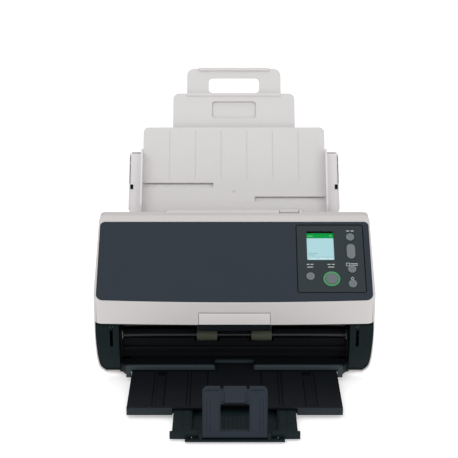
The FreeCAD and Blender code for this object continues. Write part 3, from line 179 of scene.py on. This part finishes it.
def roller(name, colour, axis_y, axis_z, shaft_r, rough=0.7, shaft=0.55):
    """Rubber tyre on a ground steel shaft: the split is at the shaft's radius."""
    m, nt, bsdf, out = new_mat(name)
    tc = nt.nodes.new("ShaderNodeTexCoord")
    sub = nt.nodes.new("ShaderNodeVectorMath"); sub.operation = "SUBTRACT"
    sub.inputs[1].default_value = (0, axis_y, axis_z)
    nt.links.new(tc.outputs["Object"], sub.inputs[0])
    flat = nt.nodes.new("ShaderNodeVectorMath"); flat.operation = "MULTIPLY"
    flat.inputs[1].default_value = (0, 1, 1)
    nt.links.new(sub.outputs[0], flat.inputs[0])
    ln = nt.nodes.new("ShaderNodeVectorMath"); ln.operation = "LENGTH"
    nt.links.new(flat.outputs[0], ln.inputs[0])
    gt = nt.nodes.new("ShaderNodeMath"); gt.operation = "GREATER_THAN"
    gt.inputs[1].default_value = shaft_r + 0.0004
    nt.links.new(ln.outputs["Value"], gt.inputs[0])
    vec = coords(nt)
    fine = noise(nt, vec, 700.0, 3.0, 0.6)
    rub = vary(nt, fine, colour, 0.15)
    mix = nt.nodes.new("ShaderNodeMix"); mix.data_type = "RGBA"
    mix.inputs["A"].default_value = (shaft, shaft, shaft * 1.02, 1)
    nt.links.new(rub, mix.inputs["B"])
    nt.links.new(gt.outputs[0], mix.inputs["Factor"])
    nt.links.new(mix.outputs["Result"], bsdf.inputs["Base Color"])
    inv = nt.nodes.new("ShaderNodeMath"); inv.operation = "SUBTRACT"
    inv.inputs[0].default_value = 1.0
    nt.links.new(gt.outputs[0], inv.inputs[1])
    nt.links.new(inv.outputs[0], bsdf.inputs["Metallic"])
    rr = nt.nodes.new("ShaderNodeMapRange")
    rr.inputs["To Min"].default_value = 0.28
    rr.inputs["To Max"].default_value = rough
    nt.links.new(gt.outputs[0], rr.inputs["Value"])
    nt.links.new(rr.outputs["Result"], bsdf.inputs["Roughness"])
    wave = nt.nodes.new("ShaderNodeTexWave")
    wave.wave_type = "RINGS"; wave.rings_direction = "X"
    wave.inputs["Scale"].default_value = 150.0
    nt.links.new(sub.outputs[0], wave.inputs["Vector"])
    nt.links.new(bump(nt, fine, 0.4, 0.0002), bsdf.inputs["Normal"])
    return m


def glow(name, colour, strength, rough=0.3, amount=0.02):
    """A lit surface: emission under a thin gloss."""
    m, nt, bsdf, out = new_mat(name)
    vec = coords(nt)
    c = vary(nt, noise(nt, vec, 90.0, 2.0), colour, amount)
    nt.links.new(c, bsdf.inputs["Base Color"])
    nt.links.new(c, bsdf.inputs["Emission Color"])
    bsdf.inputs["Emission Strength"].default_value = strength
    bsdf.inputs["Roughness"].default_value = rough
    return m


def window(name, tint, rough=0.06, alpha=0.18):
    m, nt, bsdf, out = new_mat(name)
    vec = coords(nt)
    smear = noise(nt, vec, 45.0, 3.0)
    nt.links.new(vary(nt, smear, tint, 0.03), bsdf.inputs["Base Color"])
    nt.links.new(ramp_range(nt, smear, rough, rough + 0.05), bsdf.inputs["Roughness"])
    bsdf.inputs["Alpha"].default_value = alpha
    return m


def screen(name, colour, strength=0.9):
    """A lit patch of the display: nearly all of it is its own light."""
    m, nt, bsdf, out = new_mat(name)
    vec = coords(nt)
    grain = noise(nt, vec, 700.0, 1.0)
    nt.links.new(vary(nt, grain, tuple(c * 0.12 for c in colour[:3]) + (1,), 0.05), bsdf.inputs["Base Color"])
    nt.links.new(vary(nt, grain, colour, 0.02), bsdf.inputs["Emission Color"])
    bsdf.inputs["Emission Strength"].default_value = strength
    bsdf.inputs["Roughness"].default_value = 0.6
    bsdf.inputs["Specular IOR Level"].default_value = 0.05
    return m


MAT = {
    "casing": plastic("casing_light", srgb(203, 199, 198), 0.50, 1700.0, 0.22, 0.012, 0.30),
    "guide": plastic("guide_light", srgb(224, 221, 223), 0.42, 1700.0, 0.15, 0.012, 0.4),
    "chute": plastic("chute_light", srgb(214, 211, 211), 0.5, 1500.0, 0.25, 0.015, 0.35),
    "panel": plastic("panel_dark", srgb(46, 54, 63), 0.46, 1600.0, 0.2, 0.03, 0.12),
    "inset": plastic("operator_inset", srgb(49, 58, 61), 0.44, 2200.0, 0.12, 0.03, 0.12),
    "trim": plastic("trim_dark", srgb(12, 26, 28), 0.5, 1500.0, 0.25, 0.05, 0.10),
    "deck": plastic("deck_dark", srgb(54, 64, 68), 0.5, 1500.0, 0.25, 0.05, 0.12),
    "deep": plastic("guide_dark", srgb(13, 14, 17), 0.55, 1300.0, 0.3, 0.06, 0.08),
    "ledge": plastic("lower_guide_dark", srgb(19, 20, 24), 0.55, 1300.0, 0.3, 0.06, 0.08),
    "flap": plastic("flap_light", srgb(218, 214, 213), 0.50, 1700.0, 0.22, 0.012, 0.30),
    "lip": plastic("flap_lip_dark", srgb(22, 27, 32), 0.5, 1500.0, 0.25, 0.05, 0.10),
    "key": plastic("key_grey", srgb(112, 120, 123), 0.42, 2400.0, 0.12, 0.02, 0.25),
    "disc": plastic("scan_disc_grey", srgb(104, 111, 115), 0.40, 2400.0, 0.12, 0.02, 0.25),
    "ring": glow("ring_green", srgb(62, 140, 88), 0.10, 0.35),
    "stack": plastic("stacker_dark", srgb(20, 24, 28), 0.48, 1300.0, 0.35, 0.06, 0.12),
    "ext": plastic("extension_dark", srgb(17, 30, 33), 0.48, 1300.0, 0.35, 0.06, 0.12),
    "stop": plastic("stopper_dark", srgb(34, 42, 51), 0.42, 1700.0, 0.15, 0.04, 0.15),
    "black": plastic("sensor_black", srgb(12, 12, 13), 0.45, 1200.0, 0.25, 0.05, 0.12),
    "board": plastic("circuit_board", srgb(22, 84, 44), 0.35, 600.0, 0.3, 0.1, 0.5),
    "pom": plastic("acetal_natural", srgb(208, 205, 192), 0.42, 900.0, 0.15, 0.02, 0.5),
    "steel": metal("steel_ground", (0.56, 0.56, 0.57, 1), 0.3, (1, 1, 1)),
    "blued": metal("steel_blackened", (0.045, 0.048, 0.05, 1), 0.42, (0.02, 1, 1)),
    "coated": plastic("frame_black", srgb(20, 21, 23), 0.55, 900.0, 0.35, 0.06, 0.12),
    "foot": rubber("foot_rubber", srgb(24, 24, 25)),
    "belt": rubber("belt_rubber", srgb(16, 16, 17), 0.8, 1400.0),
    "glass": window("clear_window", (0.02, 0.025, 0.025, 1), 0.08, 0.05),
    "scanglass": window("scan_window", (0.01, 0.012, 0.013, 1), 0.35, 0.85),
    "lcd": screen("display_ground", srgb(182, 225, 232)),
    "mark": plastic("printed_mark", srgb(186, 192, 194), 0.5, 2500.0, 0.05, 0.02, 0.2),
}
MAT["glass"].node_tree.nodes["Principled BSDF"].inputs["Specular IOR Level"].default_value = 0.2
MAT["scanglass"].node_tree.nodes["Principled BSDF"].inputs["Specular IOR Level"].default_value = 0.15

# painted light and shade: the deck's front sill is painted pale as lit and the matt top behind it painted dark as
# shaded under the body; the stacker's front lip is painted lighter as a highlight
for key_, y_, soft_, dark_, light_ in (("deck", Y0 - 0.0848, 0.0006, srgb(17, 22, 25), srgb(58, 68, 72)), ("stack", Y0 - 0.1725, 0.0006, srgb(21, 24, 28), srgb(38, 46, 50))):
    nt_ = MAT[key_].node_tree
    b_ = nt_.nodes["Principled BSDF"]
    lit_and_shaded_grade_ = step_y(nt_, y_, soft_, dark_, light_)
    mott_ = nt_.nodes.new("ShaderNodeMix"); mott_.data_type = "RGBA"; mott_.blend_type = "MULTIPLY"
    mott_.inputs["Factor"].default_value = 1.0
    nt_.links.new(lit_and_shaded_grade_, mott_.inputs["A"])
    nt_.links.new(vary(nt_, noise(nt_, coords(nt_), 26.0, 3.0), (0.94, 0.94, 0.94, 1), 0.05), mott_.inputs["B"])
    nt_.links.new(mott_.outputs["Result"], b_.inputs["Base Color"])

ASSIGN = {
    "bottom_chassis": "coated", "rubber_feet": "foot", "chassis_screws": "steel", "right_side_cover": "casing", "left_side_cover": "casing",
    "right_cheek": "trim", "left_cheek": "trim", "hinge_pins": "steel", "rear_cover": "casing", "data_ports": "steel", "dc_inlet": "black", "main_board": "board",
    "output_deck": "deck", "side_frames": "coated", "lower_paper_guide": "ledge", "lower_scan_glass": "scanglass", "lower_sensor_bar": "black",
    "drive_motor": "coated", "shaft_bushings": "pom", "drive_belt": "belt", "chute_plate": "chute", "chute_back_cover": "casing",
    "motor_pinion": "pom", "feeder_cover": "casing", "top_panel": "panel", "operator_bezel": "inset",
    "display_glass": "glass", "display_module": "black", "operator_board": "board", "scan_ring": "ring", "feeder_inner_frame": "deep", "upper_scan_glass": "scanglass",
    "upper_sensor_bar": "black", "hinge_arms": "trim", "latch_hooks": "steel", "release_tab": "casing", "exit_guide": "flap", "exit_guide_lip": "lip",
    "scan_key": "disc", "stop_key": "key", "menu_key": "key", "feed_key": "key", "power_key": "key", "rocker_key": "key",
    "right_guide": "guide", "left_guide": "guide", "guide_pinion": "pom", "chute_extension_lower": "chute", "chute_extension_upper": "chute",
    "stacker_plate": "stack", "stacker_extension_1": "ext", "stacker_extension_2": "ext", "stopper": "stop", "eject_shaft": "blued",
}


def axis_of(node):
    lo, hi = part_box(node)
    return (lo.y + hi.y) / 2, (lo.z + hi.z) / 2


for node, r, colour in (("pick_rollers", 0.003, srgb(110, 116, 84)), ("feed_rollers", 0.003, srgb(60, 64, 52)), ("brake_roller", 0.0025, srgb(100, 104, 84)),
                        ("feed_idlers", 0.002, srgb(40, 41, 43)), ("eject_idlers", 0.002, srgb(40, 41, 43))):
    y, z = axis_of(node)
    MAT[node] = roller(node + "_mat", colour, y, z, r, shaft=0.03 if node == "eject_idlers" else 0.45)
    ASSIGN[node] = node
MAT["eject_rubber"] = rubber("eject_rubber", srgb(76, 81, 66), 0.6, 700.0)
ASSIGN["eject_rollers"] = "eject_rubber"


# ------------------------------------------------------------------ edge treatment of the CAD shells
def smoothing_group(angle):
    """Shade smooth, keeping edges sharper than the angle sharp."""
    g = bpy.data.node_groups.new("soft_shading_%d" % angle, "GeometryNodeTree")
    g.interface.new_socket("Geometry", in_out="INPUT", socket_type="NodeSocketGeometry")
    g.interface.new_socket("Geometry", in_out="OUTPUT", socket_type="NodeSocketGeometry")
    a = g.nodes.new("NodeGroupInput"); z = g.nodes.new("NodeGroupOutput")
    faces = g.nodes.new("GeometryNodeSetShadeSmooth"); faces.domain = "FACE"
    edges = g.nodes.new("GeometryNodeSetShadeSmooth"); edges.domain = "EDGE"
    edges.inputs["Shade Smooth"].default_value = False
    ang = g.nodes.new("GeometryNodeInputMeshEdgeAngle")
    cmp_ = g.nodes.new("FunctionNodeCompare"); cmp_.data_type = "FLOAT"; cmp_.operation = "GREATER_THAN"
    cmp_.inputs[1].default_value = math.radians(angle)
    g.links.new(a.outputs[0], faces.inputs["Geometry"])
    g.links.new(faces.outputs[0], edges.inputs["Geometry"])
    g.links.new(ang.outputs["Unsigned Angle"], cmp_.inputs[0])
    g.links.new(cmp_.outputs[0], edges.inputs["Selection"])
    g.links.new(edges.outputs[0], z.inputs[0])
    return g


def clean_group():
    g = bpy.data.node_groups.new("weld_and_clear", "GeometryNodeTree")
    g.interface.new_socket("Geometry", in_out="INPUT", socket_type="NodeSocketGeometry")
    g.interface.new_socket("Geometry", in_out="OUTPUT", socket_type="NodeSocketGeometry")
    a = g.nodes.new("NodeGroupInput"); z = g.nodes.new("NodeGroupOutput")
    rem = g.nodes.new("GeometryNodeRemoveAttribute")
    rem.inputs["Name"].default_value = "custom_normal"
    weld = g.nodes.new("GeometryNodeMergeByDistance")
    weld.inputs["Distance"].default_value = 0.000004
    g.links.new(a.outputs[0], rem.inputs["Geometry"])
    g.links.new(rem.outputs[0], weld.inputs["Geometry"])
    g.links.new(weld.outputs[0], z.inputs[0])
    return g


SMOOTH = smoothing_group(32)
CLEAN = clean_group()


def dress(obj, mat, bevel=0.0, segments=2):
    obj.data.materials.clear()
    obj.data.materials.append(mat)
    m = obj.modifiers.new("weld", "NODES"); m.node_group = CLEAN
    if bevel:
        b = obj.modifiers.new("edge", "BEVEL")
        b.width = bevel
        b.segments = segments
        b.limit_method = "ANGLE"
        b.angle_limit = math.radians(50)
        b.use_clamp_overlap = True
        b.harden_normals = False
    s = obj.modifiers.new("soft", "NODES"); s.node_group = SMOOTH


BEVEL = {"stopper": 0.0005}
for name, obj in NODES.items():
    dress(obj, MAT[ASSIGN[name]], BEVEL.get(name, 0.0))


# ------------------------------------------------------------------ mesh helpers
def mesh_obj(name, verts, faces, mat, body, matrix=None, smooth=False):
    me = bpy.data.meshes.new(name)
    me.from_pydata([tuple(v) for v in verts], [], faces)
    me.validate()
    me.update()
    if matrix is not None:
        me.transform(matrix)
    o = bpy.data.objects.new(name, me)
    scene.collection.objects.link(o)
    me.materials.append(mat)
    if smooth:
        for p in me.polygons:
            p.use_smooth = True
    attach(o, body)
    return o


def rounded_loop(x0, y0, x1, y1, r, n=6):
    out = []
    for cx, cy, a0 in ((x1 - r, y0 + r, -90), (x1 - r, y1 - r, 0), (x0 + r, y1 - r, 90), (x0 + r, y0 + r, 180)):
        for i in range(n + 1):
            a = math.radians(a0 + 90.0 * i / n)
            out.append((cx + r * math.cos(a), cy + r * math.sin(a)))
    return out


def plate_from_loops(loops, z0, z1, edge=0.0):
    """Closed plates from 2-D outlines (mm), chamfered at the top edge. Returns verts in metres and faces."""
    verts, faces = [], []
    for loop in loops:
        n = len(loop)
        cx = sum(p[0] for p in loop) / n
        cy = sum(p[1] for p in loop) / n
        rings = [(z0, 0.0), (z1 - edge, 0.0), (z1, edge)] if edge else [(z0, 0.0), (z1, 0.0)]
        start = len(verts)
        for z, inset in rings:
            for x, y in loop:
                d = math.hypot(x - cx, y - cy) or 1.0
                k = max(0.0, 1 - inset / d)
                verts.append(((cx + (x - cx) * k) / 1000, (cy + (y - cy) * k) / 1000, z / 1000))
        for k in range(len(rings) - 1):
            a, b = start + k * n, start + (k + 1) * n
            for i in range(n):
                j = (i + 1) % n
                faces.append((a + i, a + j, b + j, b + i))
        faces.append(tuple(start + i for i in range(n))[::-1])
        faces.append(tuple(start + (len(rings) - 1) * n + i for i in range(n)))
    return verts, faces


def panel_plates(name, loops, z0, z1, mat, edge=0.0, body="feeder"):
    v, f = plate_from_loops(loops, z0, z1, edge)
    return mesh_obj(name, v, f, MAT[mat] if isinstance(mat, str) else mat, body, PANEL)


def bar(x, y, w, h, r=None):
    r = min(w, h) * 0.45 if r is None else r
    return rounded_loop(x - w / 2, y - h / 2, x + w / 2, y + h / 2, r, 3)


def ring_sector(cx, cy, r0, r1, a0, a1, n=14):
    pts = []
    for i in range(n + 1):
        a = math.radians(a0 + (a1 - a0) * i / n)
        pts.append((cx + r1 * math.cos(a), cy + r1 * math.sin(a)))
    for i in range(n, -1, -1):
        a = math.radians(a0 + (a1 - a0) * i / n)
        pts.append((cx + r0 * math.cos(a), cy + r0 * math.sin(a)))
    return pts


def strip_mesh(loops, z0, z1):
    """Plates from outlines that need not be convex: quads between the two halves of each outline."""
    verts, faces = [], []
    for loop in loops:
        n = len(loop)
        s = len(verts)
        for z in (z0, z1):
            for x, y in loop:
                verts.append((x / 1000, y / 1000, z / 1000))
        for i in range(n):
            j = (i + 1) % n
            faces.append((s + i, s + j, s + n + j, s + n + i))
        half = n // 2
        for i in range(half - 1):
            a, b, c, d = i, i + 1, n - 2 - i, n - 1 - i
            faces.append((s + n + a, s + n + d, s + n + c, s + n + b)[::-1])
            faces.append((s + a, s + b, s + c, s + d)[::-1])
    return verts, faces


# ------------------------------------------------------------------ display picture: generic blocks and icons only
MAT["lcd_head"] = screen("display_header", srgb(4, 158, 66))
MAT["lcd_line"] = screen("display_line", srgb(150, 184, 192))
MAT["lcd_pale"] = screen("display_tile", srgb(206, 238, 243))
MAT["lcd_head_mark"] = screen("display_header_mark", srgb(120, 205, 150))
panel_plates("display_picture_ground", [rounded_loop(78.0, 49.4, 108.4, 85.1, 0.4, 3)], -2.4, -2.30, "lcd")
panel_plates("display_picture_header", [rounded_loop(78.0, 78.8, 108.4, 85.1, 0.4, 3)], -2.30, -2.24, "lcd_head")
panel_plates("display_picture_header_marks", [bar(82.6, 81.6, 6.0, 0.9), bar(104.9, 81.8, 2.4, 1.4)], -2.24, -2.20, "lcd_head_mark")
panel_plates("display_picture_lines", [bar(85.2, 59.4, 10.6, 0.9), bar(83.6, 57.2, 7.6, 0.7), bar(93.2, 54.9, 27.0, 0.4)], -2.30, -2.24, "lcd_line")
panel_plates("display_picture_tiles", [bar(85.4, 52.6, 8.6, 2.2, 0.5), bar(95.6, 52.6, 8.6, 2.2, 0.5), bar(104.2, 52.6, 4.6, 2.2, 0.5)], -2.30, -2.24, "lcd_pale")

# printed pictograms beside the keys
marks = []
marks += [bar(123.8, 86.9, 3.4, 1.1), bar(128.6, 86.9, 3.4, 1.1)]                                       # list
marks += [bar(120.4, 44.1, 0.6, 3.8), bar(123.6, 44.1, 0.6, 3.8), bar(122.0, 42.4, 3.8, 0.6), bar(122.0, 45.8, 3.8, 0.6)]   # sheet
marks += [bar(128.6, 45.0, 8.2, 0.8), bar(128.6, 43.1, 8.2, 0.8)]
marks += [bar(79.2, 44.2, 3.2, 1.0), bar(83.4, 44.2, 3.2, 1.0), bar(81.3, 40.8, 6.4, 1.0)]
marks += [bar(101.6, 44.2, 3.4, 1.0), bar(106.2, 44.2, 3.4, 1.0), bar(103.9, 40.8, 6.6, 1.0)]
panel_plates("printed_marks", marks, -0.16, -0.12, "mark")
v, f = strip_mesh([ring_sector(126.1, 26.6, 1.15, 1.75, -230, 50, 18)], -0.16, -0.12)
mesh_obj("printed_power_ring", v, f, MAT["mark"], "feeder", PANEL)
panel_plates("printed_power_bar", [bar(126.1, 27.9, 0.55, 2.0)], -0.16, -0.12, "mark")

# shadow line round the operator inset
MAT["gap"] = plastic("shadow_gap", srgb(9, 12, 14), 0.6, 1200.0, 0.2, 0.05, 0.05)


def frame_ring(x0, y0, x1, y1, r, w):
    outer = rounded_loop(x0, y0, x1, y1, r, 6)
    inner = rounded_loop(x0 + w, y0 + w, x1 - w, y1 - w, max(0.3, r - w), 6)
    return outer, inner


def ring_plate(name, outer, inner, z0, z1, mat, body, matrix):
    n = len(outer)
    verts, faces = [], []
    for z in (z0, z1):
        for loop in (outer, inner):
            verts += [(x / 1000, y / 1000, z / 1000) for x, y in loop]
    for i in range(n):
        j = (i + 1) % n
        faces += [(i, j, 2 * n + j, 2 * n + i), (n + j, n + i, 3 * n + i, 3 * n + j),
                  (2 * n + i, 2 * n + j, 3 * n + j, 3 * n + i), (j, i, n + i, n + j)]
    return mesh_obj(name, verts, faces, MAT[mat], body, matrix)


o, i = frame_ring(66.9, 8.7, 140.6, 95.1, 2.8, 1.0)
ring_plate("inset_shadow_line", o, i, -0.4, 0.02, "gap", "feeder", PANEL)

# painted shade in the channels of the stacker plate: thin dark inlays stand in for the shade down in the grooves
channel_shade_rects = []
for x in (28.4, 46.0, 49.6, 72.6, 84.6):
    for sgn in (1, -1):
        channel_shade_rects.append((sgn * x - 0.55, -166.0 if x < 30 else -168.0, sgn * x + 0.55, -90.0))

# small raised marks on the round keys
KEYDOT = {"stop": (81.3, 29.0, "stop_button"), "power": (126.1, 19.8, "power_button"), "feed": (126.2, 38.0, "feed_button"), "menu": (125.9, 78.7, "menu_button")}
for label, (x, y, body) in KEYDOT.items():
    v, f = strip_mesh([ring_sector(x, y, 1.3, 1.7, 0, 356, 28)], 0.88, 1.0)
    mesh_obj("key_dimple_" + label, v, f, MAT["disc"], body, PANEL)

# ------------------------------------------------------------------ grip pattern on the sliding tail, painted highlight on its ribs, and painted shade in the channels and pockets
def flat_bars(name, rects, z0, z1, mat, body):
    v, f = plate_from_loops([rounded_loop(x0, y0, x1, y1, min(x1 - x0, y1 - y0) * 0.3, 2) for x0, y0, x1, y1 in rects], z0, z1)
    return mesh_obj(name, v, f, MAT[mat], body, Matrix.Translation((0, Y0, 0)))


MAT["notch_face"] = plastic("notch_face_dark", srgb(44, 53, 57), 0.5, 1500.0, 0.25, 0.05, 0.12)
flat_bars("recess_back_face", [(-22.2, -70.95, 22.2, -70.62)], 13.4, 17.0, "notch_face", "base")
# painted shade: dark inlays for the shade in the stacker's channels and pockets and in the tail's pockets
flat_bars("stacker_channel_shade", channel_shade_rects, 12.1, 12.24, "gap", "stacker")
flat_bars("stacker_pocket_shade", [(72.8, -96.8, 81.2, -89.2), (-81.2, -96.8, -72.8, -89.2)], 11.3, 11.5, "gap", "stacker")
flat_bars("tail_pocket_shade", [(42.8, -223.9, 46.4, -221.8), (-46.4, -223.9, -42.8, -221.8)], 3.5, 3.7, "gap", "extension_2")
# raised grip ribs, coloured lighter than the tail as a painted highlight on their edges
flat_bars("tail_grip_highlight", [(-8.6, -205.4, 8.6, -204.4), (-8.6, -178.4, 8.6, -177.4), (-8.6, -204.4, -7.8, -178.4), (7.8, -204.4, 8.6, -178.4),
                        (-4.6, -203.0, -3.8, -180.0), (-0.4, -203.0, 0.4, -180.0), (3.8, -203.0, 4.6, -180.0)], 4.15, 4.38, "stop", "extension_2")

# rear end of the sliding tail, so that the floor doesn't show behind it when it is drawn out
flat_bars("tail_rear_strip", [(-41.6, -110.6, 41.6, -103.7)], 2.7, 4.1, "ext", "extension_2")

# channel behind the chute plate that covers the racks of the side guides
cover_v, cover_f = [], []
for loop, z0, z1 in ((rounded_loop(-105.6, 8.6, 105.6, 37.2, 1.5, 4), -9.2, -8.1), (rounded_loop(-104.6, 8.8, 104.6, 10.0, 0.3, 2), -8.2, -2.9),
                     (rounded_loop(-103.6, 35.9, 103.6, 37.0, 0.3, 2), -8.2, -2.9)):
    v, f = plate_from_loops([loop], z0, z1)
    cover_f += [tuple(i + len(cover_v) for i in face) for face in f]
    cover_v += v
mesh_obj("rack_cover", cover_v, cover_f, MAT["chute"], "base", CHUTE)

# ------------------------------------------------------------------ side guides: painted shadow lines on the ribs, black catch and a painted shade line along the top edge
MAT["painted_edge_shade"] = plastic("painted_edge_shade", srgb(104, 102, 104), 0.5, 1500.0, 0.2, 0.03, 0.2)
for sgn, body, tag in ((1, "guide_right", "right"), (-1, "guide_left", "left")):
    def side(a, b):
        return (a, b) if sgn > 0 else (-b, -a)
    a, b = side(119.95, 120.85)
    v, f = plate_from_loops([rounded_loop(a, 33.0, b, 67.8, 0.3, 2)], 3.75, 3.92)
    mesh_obj("guide_shade_line_" + tag, v, f, MAT["painted_edge_shade"], body, CHUTE)
    a, b = side(116.4, 120.2)
    v, f = plate_from_loops([rounded_loop(a, 26.1, b, 31.9, 0.4, 3)], 3.3, 3.6)
    mesh_obj("guide_catch_" + tag, v, f, MAT["gap"], body, CHUTE)
    # painted shade line along the guide's top edge
    a, b = side(107.6, 118.6)
    v, f = plate_from_loops([rounded_loop(a, 71.0, b, 72.0, 0.3, 2)], 2.55, 2.72)
    mesh_obj("guide_top_shade_line_" + tag, v, f, MAT["painted_edge_shade"], body, CHUTE)

# ------------------------------------------------------------------ floor, light, camera
floor_m, nt, bsdf, out = new_mat("studio_floor")
vec = coords(nt)
nt.links.new(vary(nt, noise(nt, vec, 3.0, 2.0), (0.93, 0.93, 0.93, 1), 0.01), bsdf.inputs["Base Color"])
bsdf.inputs["Roughness"].default_value = 0.9
bsdf.inputs["Specular IOR Level"].default_value = 0.1
bsdf.inputs["Emission Color"].default_value = (1, 1, 1, 1)
bsdf.inputs["Emission Strength"].default_value = 0.42
me = bpy.data.meshes.new("studio_floor")
me.from_pydata([(-12, -12, 0), (12, -12, 0), (12, 12, 0), (-12, 12, 0)], [], [(0, 1, 2, 3)])
floor = bpy.data.objects.new("studio_floor", me)
scene.collection.objects.link(floor)
me.materials.append(floor_m)

world = bpy.data.worlds.new("studio")
world.use_nodes = True
world.node_tree.nodes["Background"].inputs[0].default_value = (1.0, 1.0, 1.0, 1)
world.node_tree.nodes["Background"].inputs[1].default_value = 0.56
scene.world = world


def area(name, loc, target, size, power):
    l = bpy.data.lights.new(name, "AREA")
    l.shape = "RECTANGLE"
    l.size, l.size_y = size
    l.energy = power
    o = bpy.data.objects.new(name, l)
    o.location = loc
    o.rotation_euler = (Vector(target) - Vector(loc)).to_track_quat("-Z", "Y").to_euler()
    scene.collection.objects.link(o)
    return o


area("key_light", (-0.9, -1.2, 1.9), (0, 0, 0.1), (1.6, 1.2), 12)
area("top_light", (0.2, 0.5, 2.0), (0, 0, 0.1), (2.2, 1.4), 6)
area("front_fill", (0.9, -1.9, 0.9), (0, -0.05, 0.1), (1.2, 1.0), 9)

cam = bpy.data.cameras.new("view_camera")
cam.lens = 105.1
cam.sensor_width = 36.0
cam.clip_end = 60
cam.dof.use_dof = False
camera = bpy.data.objects.new("view_camera", cam)
camera.location = (-0.0058, Y0 - 1.386, 0.647)
camera.rotation_euler = (math.radians(70.0), 0, 0)
scene.collection.objects.link(camera)
bpy.context.scene.camera = camera
scene.view_settings.view_transform = "Standard"
scene.view_settings.look = "None"
